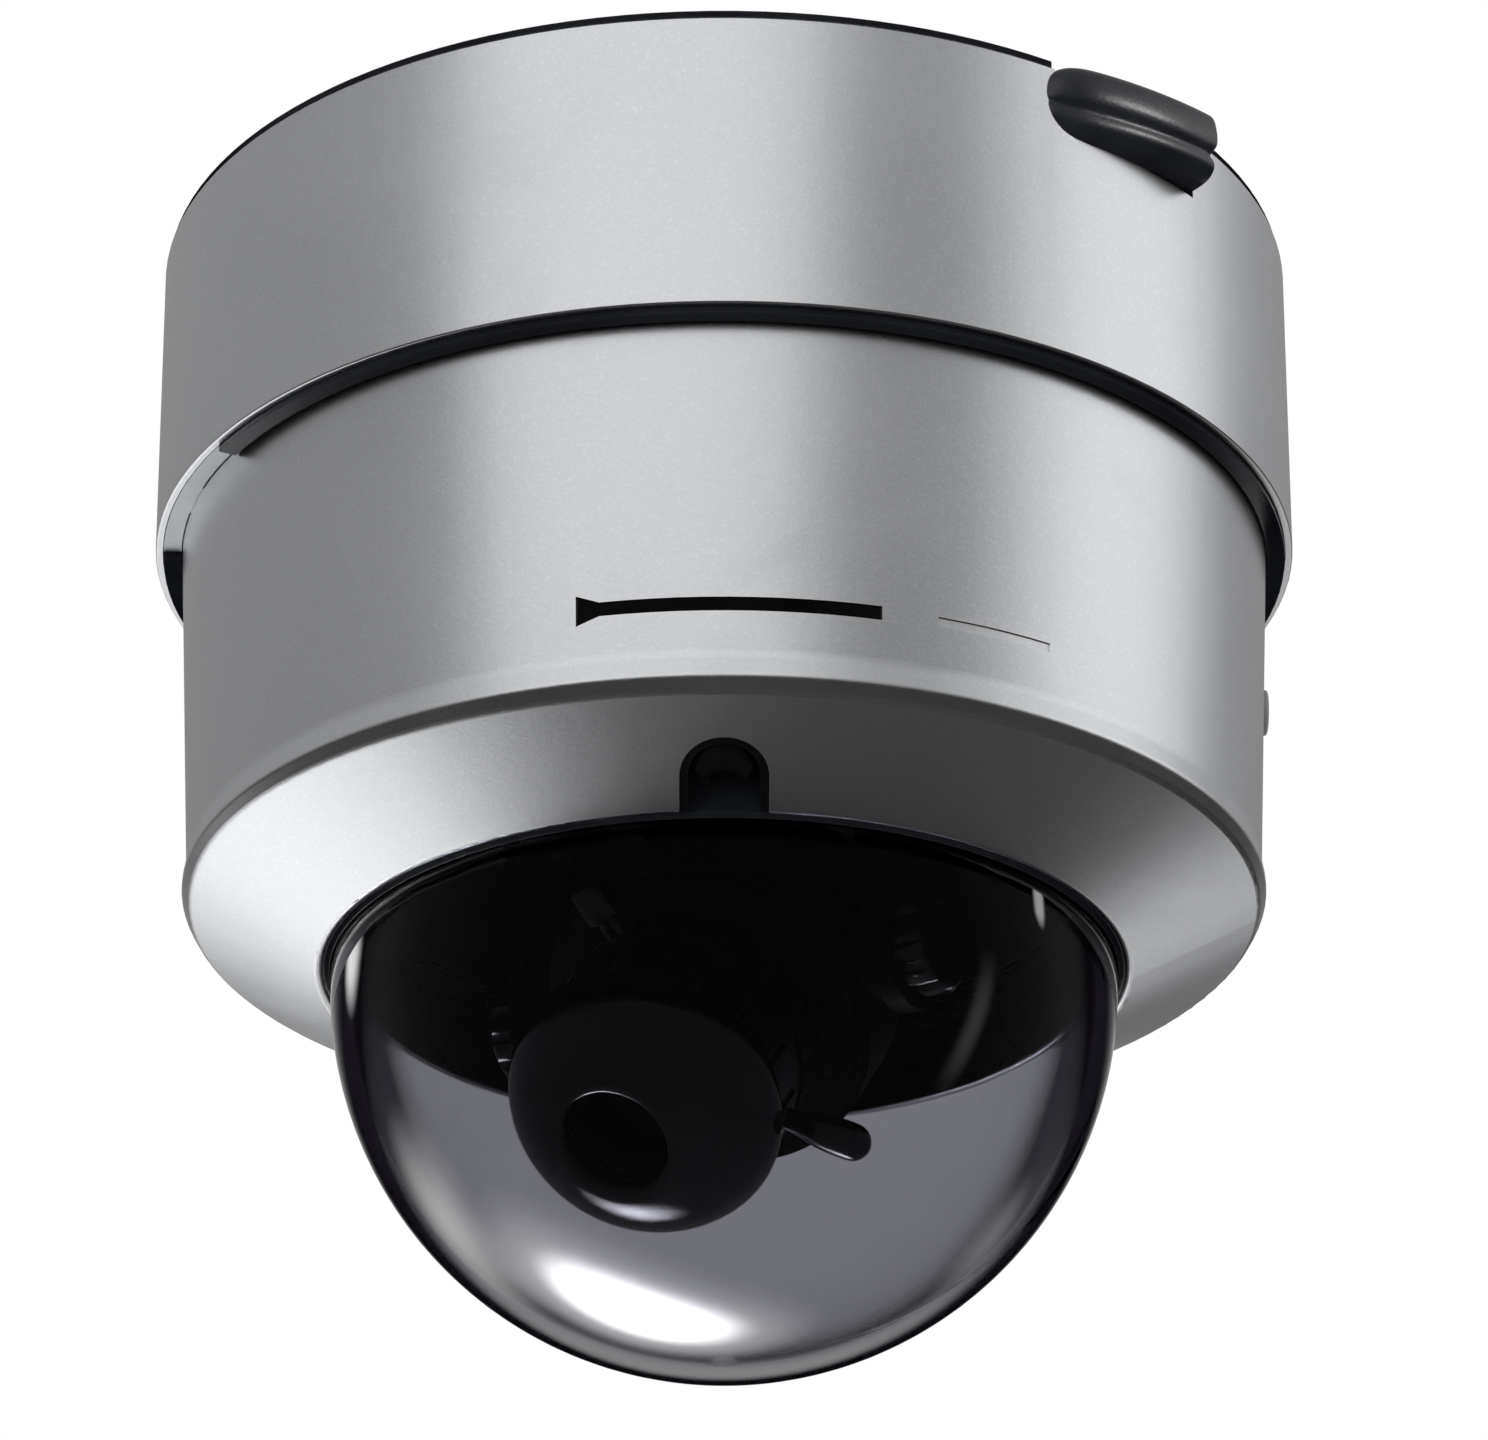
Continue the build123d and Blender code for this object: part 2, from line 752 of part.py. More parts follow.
def cover():
    """Cast cover: tapered skirt, rim bead, sloping face, dome seat, recesses, slot and vent seat."""
    inner_low = waist_radius - cover_wall
    body = turned((opening_radius, ledge_z), (opening_radius, opening_z, opening_edge),
                  (rim_radius, rim_z, rim_rounding), (bead_radius, bead_z, bead_rounding),
                  (waist_radius, waist_z, waist_rounding), (cover_top_radius, lip_bottom),
                  (cover_top_radius, cover_top, edge_break), (cover_inner_radius, cover_top),
                  (cover_inner_radius, lip_bottom), (inner_low, waist_z, cover_inner_rounding),
                  (ledge_radius, ledge_z))
    recess = recess_block(recess_radius, opening_radius - cover_wall, recess_floor_z)
    shaft = rod(captive_radius + end_play, recess_floor_z - cup_wall, ledge_z, x=captive_circle)
    pilot = rod(ear_screw_radius, ledge_z - ear_pilot_depth, ledge_z, x=ear_circle)
    cuts = around(captive_bearings, recess + shaft) + around(ear_bearings, pilot)
    slot_face = cover_radius_at(slot_z)
    cuts.append(slot_bar(0, slot_face - slot_depth, slot_face + slot_depth))
    half = groove_height / 2
    cuts.append(swept_ring(groove_from, groove_to - groove_from, slot_face + groove_depth,
                           slot_face - groove_depth, slot_z - half, slot_z + half))
    vent_face = cover_radius_at(vent_z)
    vent_seat = spoke(vent_head_radius + slip_fit, vent_face - vent_seat_depth,
                      vent_face + vent_head_height, vent_z)
    vent_hole = spoke(vent_stem_radius + running_fit, vent_face - 2 * cover_wall, vent_face, vent_z)
    cuts.append(facing(vent_bearing) * (vent_seat + vent_hole))
    tooth = lug_tooth_sweep / 2 + lug_tooth_gap
    for bearing in lug_bearings:
        cuts.append(swept_ring(bearing - tooth, 2 * tooth, base_inner_radius,
                               cover_inner_radius - lip_gap, lip_bottom, cover_top))
    return body - joined(cuts)


def screw_cups():
    """Black lining of the two recesses, open towards the dome, with the screw's hole in its floor."""
    reach = opening_radius + cup_setback
    floor_z = recess_floor_z - cup_wall
    outside = recess_block(recess_radius - slip_fit, reach, recess_floor_z)
    inside = recess_block(recess_radius - slip_fit - cup_wall, reach - cover_wall, floor_z)
    hole = rod(captive_radius + end_play, floor_z, recess_floor_z, x=captive_circle)
    dome_side = rod(reach, opening_z - face_drop, ledge_z)
    cup = outside - inside - hole - below_face(cup_sunk) - dome_side
    return joined(around(captive_bearings, cup))


def captive_screws():
    """Long screws through the cover, with a pin in the socket against tampering."""
    seat = recess_floor_z - cup_wall
    tip = chassis_bottom - cover_boss_length + captive_thread
    screw = driven_screw(captive_head_radius, captive_head_height, captive_radius, seat, tip, captive_circle)
    screw += rod(tamper_pin_radius, seat - captive_head_height + tamper_pin_sunk, seat, x=captive_circle)
    return joined(around(captive_bearings, screw))


def indicator_strip():
    """Dark strip let into the front slot."""
    face = cover_radius_at(slot_z)
    return slot_bar(running_fit, face - slot_depth, face - strip_sunk)


def breather_vent():
    """Plug with a rounded head and a stem through the wall."""
    seat = cover_radius_at(vent_z) - vent_seat_depth
    high = seat + vent_head_height
    head = turned((0, seat), (vent_head_radius, seat), (vent_head_radius, high, edge_break), (0, high))
    stem = spoke(vent_stem_radius, seat - cover_wall - vent_stem_proud, seat)
    return facing(vent_bearing) * Pos(0, 0, vent_z) * (Rot(0, 90, 0) * head + stem)


def dome():
    """Hemispherical shell with a straight neck and a flange."""
    centre = (0, dome_centre_z)
    outline = [
        CenterArc(centre, dome_radius, -90, 90),
        Polyline((dome_radius, dome_centre_z), (dome_radius, flange_bottom),
                 (dome_flange_radius, flange_bottom), (dome_flange_radius, flange_top),
                 (dome_inner_radius, flange_top), (dome_inner_radius, dome_centre_z)),
        CenterArc(centre, dome_inner_radius, -90, 90),
        Line((0, dome_centre_z - dome_inner_radius), (0, dome_centre_z - dome_radius)),
    ]
    return revolve(Plane.XZ * make_face(outline), Axis.Z)


def dome_gasket():
    """Rubber sleeve round the neck, with a washer under the flange and a lip at the opening."""
    inner = dome_radius + gasket_fit
    outer = opening_radius - gasket_fit
    lip = opening_z + opening_edge
    return turned((inner, lip - gasket_lip, gasket_rounding), (outer, lip, gasket_rounding),
                  (outer, ledge_z), (dome_flange_radius, ledge_z), (dome_flange_radius, flange_bottom),
                  (inner, flange_bottom))


def dome_ring():
    """Clamping ring with ears that stand on the dome seat."""
    whole = ring(ring_outer_radius, ring_inner_radius, flange_top, ring_top)
    ear = rod(ear_radius, ledge_z, ring_top, x=ear_circle)
    ear += plank(dome_flange_radius, ear_circle, 2 * ear_radius, flange_top, ring_top)
    hole = rod(ear_screw_radius + slip_fit, ledge_z, ring_top, x=ear_circle)
    return joined([whole] + around(ear_bearings, ear)) - joined(around(ear_bearings, hole))


def dome_ring_screws():
    """Screws through the ears into the dome seat."""
    tip = ledge_z - ear_pilot_depth + pilot_spare
    screw = seated_screw(ear_head_radius, ear_head_height, ear_screw_radius - running_fit, ring_top, tip,
                         ear_circle)
    return joined(around(ear_bearings, screw))


def inner_liner():
    """Black sleeve that stands on the clamping ring."""
    foot_top = ring_top + liner_wall
    toe = liner_inner_radius - liner_toe
    return turned((toe, ring_top), (liner_radius + liner_foot, ring_top),
                  (liner_radius + liner_foot, foot_top, edge_break), (liner_radius, foot_top, soft_edge),
                  (liner_radius, liner_top, edge_break), (liner_inner_radius, liner_top, edge_break),
                  (toe, foot_top))


def pan_retainer():
    """Washer screwed under the hub."""
    washer = ring(retainer_radius, hub_bore, retainer_bottom, hub_bottom)
    hole = rod(retainer_screw_radius + slip_fit, retainer_bottom, hub_bottom, x=retainer_screw_circle)
    return washer - joined(around(retainer_bearings, hole))


def pan_retainer_screws():
    """Screws of the washer."""
    tip = hub_bottom + retainer_pilot_depth - pilot_spare
    screw = driven_screw(retainer_head_radius, retainer_head_height, retainer_screw_radius - running_fit,
                         retainer_bottom, tip, retainer_screw_circle)
    return joined(around(retainer_bearings, screw))


def on_turntable(shape):
    """Turn a piece of the pan body to where the head stands at rest."""
    return Rot(0, 0, pan_rest) * shape


def turntable():
    """Pan disc with finger notches round its edge and a stop tab at the front."""
    disc = ring(turntable_radius, hub_radius + running_fit, turntable_bottom, turntable_top)
    notch = rod(turntable_notch_radius, turntable_bottom, turntable_top,
                x=turntable_radius + turntable_notch_offset)
    pilot = rod(yoke_screw_radius, turntable_bottom, turntable_top - pilot_spare, x=yoke_screw_circle)
    tab = plank(turntable_radius - turntable_notch_radius, turntable_radius + stop_reach, 2 * stop_tab_half,
                turntable_top - stop_tab_height, turntable_top)
    disc = disc - joined(around(between_bearings(turntable_notches), notch))
    disc = disc - joined(around(yoke_screw_bearings, pilot))
    return on_turntable(disc + facing(0) * tab)


def tilt_yoke():
    """Ring plate with two tapered arms, each with a window and a trunnion hole."""
    plate = ring(yoke_radius, yoke_inner_radius, yoke_bottom, turntable_bottom)
    arm_top = yoke_bottom + yoke_thickness / 2
    taper = make_face(Polyline((-arm_top_half, arm_top), (arm_top_half, arm_top), (arm_end_radius, pivot_z),
                               (-arm_end_radius, pivot_z), close=True))
    window_top = yoke_bottom - arm_window_top
    window_low = pivot_z + arm_window_bottom
    window = Pos(0, (window_top + window_low) / 2) * Rectangle(2 * arm_window_half, window_top - window_low)
    window = fillet(window.vertices(), arm_window_rounding)
    outline = taper + Pos(0, pivot_z) * Circle(arm_end_radius)
    outline -= window + Pos(0, pivot_z) * Circle(trunnion_radius + running_fit)
    arm = Pos(arm_inside, 0, 0) * extrude(Plane.YZ * outline, amount=arm_thickness)
    hole = rod(yoke_screw_radius + slip_fit, yoke_bottom, turntable_bottom, x=yoke_screw_circle)
    body = joined([plate, arm, Rot(0, 0, 180) * arm])
    return on_turntable(body - joined(around(yoke_screw_bearings, hole)))


def yoke_screws():
    """Screws that hold the yoke under the turntable."""
    tip = turntable_top - 2 * pilot_spare
    screw = driven_screw(yoke_head_radius, yoke_head_height, yoke_screw_radius - running_fit, yoke_bottom,
                         tip, yoke_screw_circle)
    return on_turntable(joined(around(yoke_screw_bearings, screw)))


# The head is modelled along its lens axis, +Z out of the lens and +X along the tilt axis, and is
# then swung to where it points at rest.
pan_angle = radians(pan_rest)
tilt_angle = radians(tilt_rest)
tilt_axis = (cos(pan_angle), sin(pan_angle), 0)
lens_axis = (cos(tilt_angle) * sin(pan_angle), -cos(tilt_angle) * cos(pan_angle), -sin(tilt_angle))
head_place = Plane(origin=(0, 0, pivot_z), x_dir=tilt_axis, z_dir=lens_axis).location


def on_head(shape):
    """Place a piece of the head."""
    return head_place * shape


def tilt_cradle():
    """Ring with two trunnion bosses and pins."""
    boss = spoke(trunnion_boss_radius, cradle_bore, boss_end)
    side = boss + spoke(trunnion_radius, cradle_radius, knob_outside - knob_dish_depth)
    hoop = ring(cradle_radius, cradle_bore, -cradle_half, cradle_half)
    whole = joined([hoop, side, Rot(0, 0, 180) * side])
    return on_head(whole - rod(cradle_bore, -cradle_half, cradle_half))


def tilt_knobs():
    """Fluted lock knobs on the trunnions."""
    dish = knob_outside - knob_dish_depth
    knob = turned((0, knob_inside), (knob_radius, knob_inside), (knob_radius, knob_outside - soft_edge),
                  (knob_radius - soft_edge, knob_outside), (knob_dish_radius, knob_outside),
                  (knob_dish_radius, dish), (0, dish))
    flute = rod(knob_flute_radius, knob_inside, knob_outside, x=knob_radius + knob_flute_offset)
    knob = knob - joined(around(even_bearings(knob_flutes), flute))
    knob = Rot(0, 90, 0) * (knob - rod(trunnion_radius + running_fit, knob_inside, knob_outside))
    return on_head(joined([knob, Rot(0, 0, 180) * knob]))


def lens_holder():
    """Drum that turns in the cradle, with a front flange and a rear spigot."""
    drum = turned((holder_bore, -holder_half), (spigot_radius, -holder_half), (spigot_radius, -journal_half),
                  (journal_radius, -journal_half), (journal_radius, journal_half),
                  (holder_flange_radius, journal_half), (holder_flange_radius, holder_half, edge_break),
                  (holder_bore, holder_half))
    return on_head(drum)


def roll_ring():
    """Ring on the spigot, with two notches for a spanner."""
    hoop = ring(holder_flange_radius, spigot_radius + running_fit, -holder_half, -journal_half)
    notch = Pos(holder_flange_radius, 0, -holder_half) * Box(spanner_notch, spanner_notch, holder_flange)
    return on_head(hoop - joined(around((0, 180), notch)))


def sensor_housing():
    """Rear cup with a ledge for the sensor board and a slot for its lead."""
    floor = sensor_cup_end + sensor_cup_wall
    ledge_inside = sensor_cup_inside - sensor_ledge_width
    cup = turned((0, sensor_cup_end), (sensor_cup_radius, sensor_cup_end, cast_rounding),
                 (sensor_cup_radius, -holder_half), (sensor_cup_inside, -holder_half),
                 (sensor_cup_inside, sensor_ledge_at), (ledge_inside, sensor_ledge_at),
                 (ledge_inside, floor), (0, floor))
    slot = block((connector_size[0] + lead_slot_spare, connector_size[1], sensor_cup_wall), (0, 0), floor)
    return on_head(cup - slot)


def sensor_board():
    """Small round board on the ledge of the rear cup."""
    radius = sensor_cup_inside - sensor_board_gap
    return on_head(rod(radius, sensor_ledge_at, sensor_ledge_at + sensor_board_thickness))


def image_sensor():
    """Sensor chip on the front of its board, with its window stepped in."""
    top = sensor_ledge_at + sensor_board_thickness + sensor_size[2]
    window = (sensor_size[0] - 2 * sensor_frame, sensor_size[1] - 2 * sensor_frame, sensor_window_depth)
    return on_head(block(sensor_size, (0, 0), top) - block(window, (0, 0), top))


def sensor_connector():
    """Connector at the back of the sensor board."""
    return on_head(block(connector_size, (0, 0), sensor_ledge_at))


def lens_barrel():
    """Fixed tube of the lens, with its seat in the holder, its collar and seats for the glass."""
    seat_radius = holder_bore - running_fit
    rear_radius = rear_lens_radius + running_fit
    front_radius = front_lens_radius + running_fit
    rear_seat = barrel_rear + rear_lens_thickness
    tube = turned((rear_radius, barrel_rear), (seat_radius, barrel_rear), (seat_radius, holder_half),
                  (collar_radius, holder_half), (collar_radius, collar_end), (barrel_radius, collar_end),
                  (barrel_radius, barrel_end), (front_radius, barrel_end), (front_radius, front_seat),
                  (barrel_bore, front_seat), (barrel_bore, rear_seat), (rear_radius, rear_seat))
    return on_head(tube)


def mid_collar():
    """Fixed collar between the zoom ring and the focus ring."""
    return on_head(ring(collar_radius, barrel_radius + running_fit, mid_start, mid_end))


def lens_hood():
    """Bulged front shell that screws onto the nose of the barrel and holds the front glass."""
    bore = barrel_radius + running_fit
    shell = turned((bore, hood_start), (hood_root_radius, hood_start, edge_break),
                   (hood_bulge_radius, hood_start + hood_bulge_at, hood_bulge_rounding),
                   (hood_front_radius, hood_start + hood_shoulder_at, hood_front_rounding),
                   (hood_mouth_radius, hood_start + hood_length, edge_break),
                   (hood_throat_radius, barrel_end + hood_throat_length),
                   (hood_throat_radius, barrel_end), (bore, barrel_end))
    return on_head(shell)


def bulged_glass(radius, low, edge, rise):
    """Glass with a flat back and a bulged front."""
    high = low + edge
    curve = (radius ** 2 + rise ** 2) / (2 * rise)
    ball = Pos(0, 0, high + rise - curve) * Sphere(curve)
    return rod(radius, low, high + rise) & ball


def front_lens():
    """Front glass in the nose of the barrel."""
    return on_head(bulged_glass(front_lens_radius, front_seat, front_lens_edge, front_lens_rise))


def rear_lens():
    """Rear glass, bulged towards the sensor."""
    seat = barrel_rear + rear_lens_thickness
    glass = bulged_glass(rear_lens_radius, -seat, rear_lens_thickness, rear_lens_rise)
    return on_head(Rot(180, 0, 0) * glass)


def lens_ring(radius, start, end, lever_turn):
    """Turning ring of the lens, with grip notches and the lever's hole."""
    hoop = ring(radius, barrel_radius + running_fit, start, end)
    notch = rod(grip_notch_radius, start, end, x=radius + grip_notch_offset)
    hole = spoke(lever_neck_radius + running_fit, barrel_radius, radius, (start + end) / 2)
    hoop = hoop - joined(around(between_bearings(grip_notches), notch))
    return on_head(Rot(0, 0, lever_turn) * (hoop - hole))


def lens_lever(ring_radius, start, end, head_length, lever_turn):
    """Thumb screw of a lens ring, with a thin neck and a round-ended head."""
    neck = spoke(lever_neck_radius, ring_radius - lever_sunk, lever_head_root + lever_neck_radius)
    reach = lever_head_root + head_length
    head = turned((0, lever_head_root), (lever_head_radius, lever_head_root, edge_break),
                  (lever_head_radius, reach, lever_tip_rounding), (0, reach))
    lever = Pos(0, 0, (start + end) / 2) * (neck + Rot(0, 90, 0) * head)
    return on_head(Rot(0, 0, lever_turn) * lever)


def zoom_ring():
    """Ring nearer the holder."""
    return lens_ring(zoom_ring_radius, zoom_start, zoom_end, zoom_lever_turn)


def zoom_lever():
    """Lever of the zoom ring."""
    return lens_lever(zoom_ring_radius, zoom_start, zoom_end, zoom_lever_head, zoom_lever_turn)


def focus_ring():
    """Ring nearer the hood."""
    return lens_ring(focus_ring_radius, focus_start, focus_end, focus_lever_turn)


def focus_lever():
    """Lever of the focus ring."""
    return lens_lever(focus_ring_radius, focus_start, focus_end, focus_lever_head, focus_lever_turn)


pieces = (base_housing, ceiling_gasket, cable_boot, seam_seal, locating_lugs, main_board, board_screws,
          terminal_block, network_socket, capacitors, board_chips, power_inductor, chassis, chassis_screws,
          cover, screw_cups, captive_screws, indicator_strip, breather_vent, dome, dome_gasket, dome_ring,
          dome_ring_screws, inner_liner, pan_retainer, pan_retainer_screws, turntable, tilt_yoke, yoke_screws,
          tilt_cradle, tilt_knobs, lens_holder, roll_ring, sensor_housing, sensor_board, image_sensor,
          sensor_connector, lens_barrel, mid_collar, lens_hood, front_lens, rear_lens, zoom_ring, zoom_lever,
          focus_ring, focus_lever)

for piece in pieces:
    save(piece.__name__, piece())
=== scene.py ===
# %% [markdown]
# # A dome camera under a ceiling
# The real object is a cast silver back box, a cover that slopes in to a smoked dome, and a black camera
# head behind the dome. Its shape is finished and arrives as named nodes in metres, so this lesson is
# about looks: finishes, three rounded pieces that take the place of plain solids, and a studio. Nothing
# that arrives is moved. A piece that is added rides on the body that carries it.

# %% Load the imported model
import json
from math import cos, pi, radians, sin, tan

import bmesh
import bpy
from mathutils import Matrix, Vector


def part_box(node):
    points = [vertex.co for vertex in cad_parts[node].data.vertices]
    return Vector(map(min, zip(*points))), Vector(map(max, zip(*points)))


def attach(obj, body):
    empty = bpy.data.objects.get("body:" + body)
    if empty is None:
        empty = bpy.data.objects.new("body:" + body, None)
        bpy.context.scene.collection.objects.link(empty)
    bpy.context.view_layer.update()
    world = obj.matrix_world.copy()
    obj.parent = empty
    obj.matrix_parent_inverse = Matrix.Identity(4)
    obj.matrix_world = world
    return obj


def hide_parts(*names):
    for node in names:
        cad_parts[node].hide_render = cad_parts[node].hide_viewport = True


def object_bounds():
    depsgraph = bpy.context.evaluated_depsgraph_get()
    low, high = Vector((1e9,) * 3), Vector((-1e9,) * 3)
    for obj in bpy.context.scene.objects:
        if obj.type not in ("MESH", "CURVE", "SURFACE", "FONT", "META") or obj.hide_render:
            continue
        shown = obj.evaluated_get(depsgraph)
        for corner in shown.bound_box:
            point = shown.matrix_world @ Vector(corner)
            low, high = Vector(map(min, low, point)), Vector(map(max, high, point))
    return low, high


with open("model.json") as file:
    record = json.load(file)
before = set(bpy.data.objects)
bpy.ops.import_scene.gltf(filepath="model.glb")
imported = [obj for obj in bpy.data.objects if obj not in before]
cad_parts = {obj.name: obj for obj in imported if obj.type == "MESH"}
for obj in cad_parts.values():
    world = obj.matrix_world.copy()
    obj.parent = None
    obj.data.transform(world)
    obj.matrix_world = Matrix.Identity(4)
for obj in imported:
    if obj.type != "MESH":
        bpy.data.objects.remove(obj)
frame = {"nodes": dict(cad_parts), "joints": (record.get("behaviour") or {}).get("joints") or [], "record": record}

scene = bpy.context.scene
nodes = frame["nodes"]
cad_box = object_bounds()
cad_size = cad_box[1] - cad_box[0]
print(len(nodes), "nodes, size in mm", [round(1000 * side, 1) for side in cad_size])

# %% [markdown]
# ## The camera that looks at it
# The photograph was taken from in front and below with a long lens, so lines hardly converge. A camera
# could be aimed with a constraint, but a place and three angles are plain numbers that can be read and
# nudged. The lens length then sets how much of the picture the object fills.

# %% Place the camera
view_place = Vector((0.0, -0.9621, -0.5162))
view_pitch = radians(24.91)
view_yaw = radians(0.169)
view_roll = radians(-0.046)
forward = Vector((sin(view_yaw) * cos(view_pitch), cos(view_yaw) * cos(view_pitch), sin(view_pitch)))
right = Vector((cos(view_yaw), -sin(view_yaw), 0.0))
upward = right.cross(forward)
aim = Matrix((right, upward, -forward)).transposed().to_4x4()

lens = bpy.data.cameras.new("photo_camera")
lens.sensor_width = 36.0
lens.lens = 179.17
lens.clip_start = 0.01
photo_camera = bpy.data.objects.new("photo_camera", lens)
photo_camera.matrix_world = Matrix.Translation(view_place) @ aim @ Matrix.Rotation(view_roll, 4, "Z")
scene.collection.objects.link(photo_camera)
scene.camera = photo_camera
print("camera", [round(value, 3) for value in view_place], "lens", lens.lens)

# %% [markdown]
# ## Helpers for shader nodes
# Every finish below is a small graph of nodes. Typing each link by hand hides the idea of the graph, so
# these helpers take a value or another node's output for any socket. A capital letter means a socket,
# a small letter a setting of the node.

# %% Node helpers
def feed(tree, socket, value):
    """Link a socket to another node's output, or set it to a plain value."""
    if isinstance(value, bpy.types.NodeSocket):
        tree.links.new(value, socket)
    else:
        socket.default_value = value


def add(tree, kind, **values):
    """Add a shader node with its settings and sockets."""
    made = tree.nodes.new("ShaderNode" + kind)
    for name, value in values.items():
        if name[0].islower():
            setattr(made, name, value)
        else:
            feed(tree, made.inputs[name.replace("_", " ")], value)
    return made


def calc(tree, operation, *values):
    """One step of arithmetic."""
    made = add(tree, "Math", operation=operation)
    for socket, value in zip(made.inputs, values):
        feed(tree, socket, value)
    return made.outputs[0]


# a Mix node has sockets for every kind of data, and these are the ones for colours
colour_mix_inputs = (0, 6, 7)
colour_mix_output = 2


def blend(tree, mask, first, second):
    """Mix two colours by a mask."""
    made = add(tree, "Mix", data_type="RGBA")
    for index, value in zip(colour_mix_inputs, (mask, first, second)):
        feed(tree, made.inputs[index], value)
    return made.outputs[colour_mix_output]


def spread(tree, value, low, high, start=0.0, end=1.0):
    """Stretch a value from one range to another, smoothly."""
    made = add(tree, "MapRange", interpolation_type="SMOOTHSTEP", Value=value)
    for name, number in (("From Min", start), ("From Max", end), ("To Min", low), ("To Max", high)):
        made.inputs[name].default_value = number
    return made.outputs[0]


def colour(red, green, blue):
    """A colour with no transparency."""
    return (red, green, blue, 1.0)


def grey(level):
    """A grey with no transparency."""
    return colour(level, level, level)


print("node helpers ready")

# %% [markdown]
# ## Floor and surroundings
# The object hangs from a ceiling, so the floor lies well below it and only keeps the studio plain. The
# world is white to the camera and through glass, and a calmer grey where it only lights the object, so
# that a colour renders about as it is written. What a shiny piece mirrors is darker still, as a real
# studio is behind its lamps, and keeps the black head behind the dome black.

# %% Floor
floor_drop = 2.4
floor_half = 6.0


def flat_sheet(name, half_wide, half_high):
    """A rectangle about its own middle, for the floor and for the cards further down."""
    mesh = bpy.data.meshes.new(name)
    corners = [(-half_wide, -half_high, 0), (half_wide, -half_high, 0), (half_wide, half_high, 0),
               (-half_wide, half_high, 0)]
    mesh.from_pydata(corners, [], [(0, 1, 2, 3)])
    made = bpy.data.objects.new(name, mesh)
    scene.collection.objects.link(made)
    return made


studio_floor = flat_sheet("studio_floor", floor_half, floor_half)
studio_floor.location.z = -floor_drop

floor_paper = bpy.data.materials.new("floor_paper")
floor_paper.use_nodes = True
paper_tree = floor_paper.node_tree
paper = paper_tree.nodes["Principled BSDF"]
paper_noise = add(paper_tree, "TexNoise", Scale=40.0, Detail=4.0)
feed(paper_tree, paper.inputs["Base Color"],
     blend(paper_tree, paper_noise.outputs["Fac"], grey(0.84), grey(0.88)))
paper.inputs["Roughness"].default_value = 0.9
studio_floor.data.materials.append(floor_paper)
print("floor", floor_drop, "m below the ceiling")

# %% World
fill_level = 0.6
mirrored_level = 0.3
world = bpy.data.worlds.new("white_studio")
world.use_nodes = True
scene.world = world
sky_tree = world.node_tree
rays = add(sky_tree, "LightPath")
seen = calc(sky_tree, "MAXIMUM", rays.outputs["Is Camera Ray"], rays.outputs["Is Glossy Ray"])
seen = calc(sky_tree, "MAXIMUM", seen, rays.outputs["Is Transmission Ray"])
sky = blend(sky_tree, seen, grey(fill_level), grey(1.0))
# Glossy Depth still counts a reflection when the ray has passed on through the dome
mirrored = calc(sky_tree, "MINIMUM", rays.outputs["Glossy Depth"], 1.0)
sky = blend(sky_tree, mirrored, sky, grey(mirrored_level))
feed(sky_tree, sky_tree.nodes["Background"].inputs["Color"], sky)
scene.view_settings.view_transform = "Standard"
print("world fill", fill_level, "mirrored", mirrored_level)

# %% [markdown]
# ## Soft lamps
# Two large area lamps give the black pieces a little shape. They are kept out of reflections, because
# the satin body would show them as hard rectangles. The reflections are made on purpose in the next step.

# %% Lamps
object_middle = (cad_box[0] + cad_box[1]) / 2


def soft_lamp(name, place, side, watts):
    """A square area lamp that faces the object."""
    data = bpy.data.lights.new(name, "AREA")
    data.size = side
    data.energy = watts
    lamp = bpy.data.objects.new(name, data)
    lamp.location = place
    lamp.rotation_euler = (Vector(place) - object_middle).to_track_quat("Z", "Y").to_euler()
    lamp.visible_glossy = False
    lamp.visible_transmission = False
    scene.collection.objects.link(lamp)


soft_lamp("key_lamp", (-1.4, -1.3, -0.5), side=1.0, watts=12.0)
soft_lamp("fill_lamp", (1.6, -0.9, 0.6), side=1.2, watts=8.0)
print("lamps", [light.name for light in bpy.data.lights])

# %% [markdown]
# ## What the silver reflects
# Satin metal has no colour of its own to show: it shows its surroundings, blurred. A photographer hangs
# a grey tent round such an object and cuts bright windows in it. Here the tent is a sphere and the
# windows are cards. Light linking gives the silver pieces the tent and the large windows, which the dome
# would mirror as a grey haze, and gives the dark pieces a few small cards of their own. One strong lamp
# box with its glow is for the polished pieces alone. The matt seals mirror nothing, so that the seams
# stay black, and the rubber boot, further down, mirrors what the silver does and a small window besides.

# %% Who mirrors what
silver_names = ("base_housing", "cover", "locating_lugs", "breather_vent")
seal_names = ("ceiling_gasket", "seam_seal", "dome_gasket")
polished_names = ("dome", "tilt_knobs", "zoom_lever")
silver_pieces = bpy.data.collections.new("silver_pieces")
dark_pieces = bpy.data.collections.new("dark_pieces")
polished_pieces = bpy.data.collections.new("polished_pieces")
boot_pieces = bpy.data.collections.new("boot_pieces")
for node_name, node in nodes.items():
    if node_name in silver_names:
        silver_pieces.objects.link(node)
    elif node_name not in seal_names:
        dark_pieces.objects.link(node)
    if node_name in polished_names:
        polished_pieces.objects.link(node)

# %% [markdown]
# ### Grey tent
# The tent is nearly black below and grows brighter towards its top, which gives the silver walls their slow
# change from dark to light. A gradient in the world could do it, but only a piece of the studio can be
# linked to the silver alone.

# %% Grey tent
tent_radius = 2.0
tent_segments = 48
tent_low = 0.055
tent_middle = 0.03
tent_side = 0.30
tent_high = 0.48
# where each level gives way to the next, as shares of the radius below or above the middle
low_to_middle = (-0.75, -0.35)
middle_to_side = (-0.05, 0.35)
side_to_high = (0.35, 1.0)


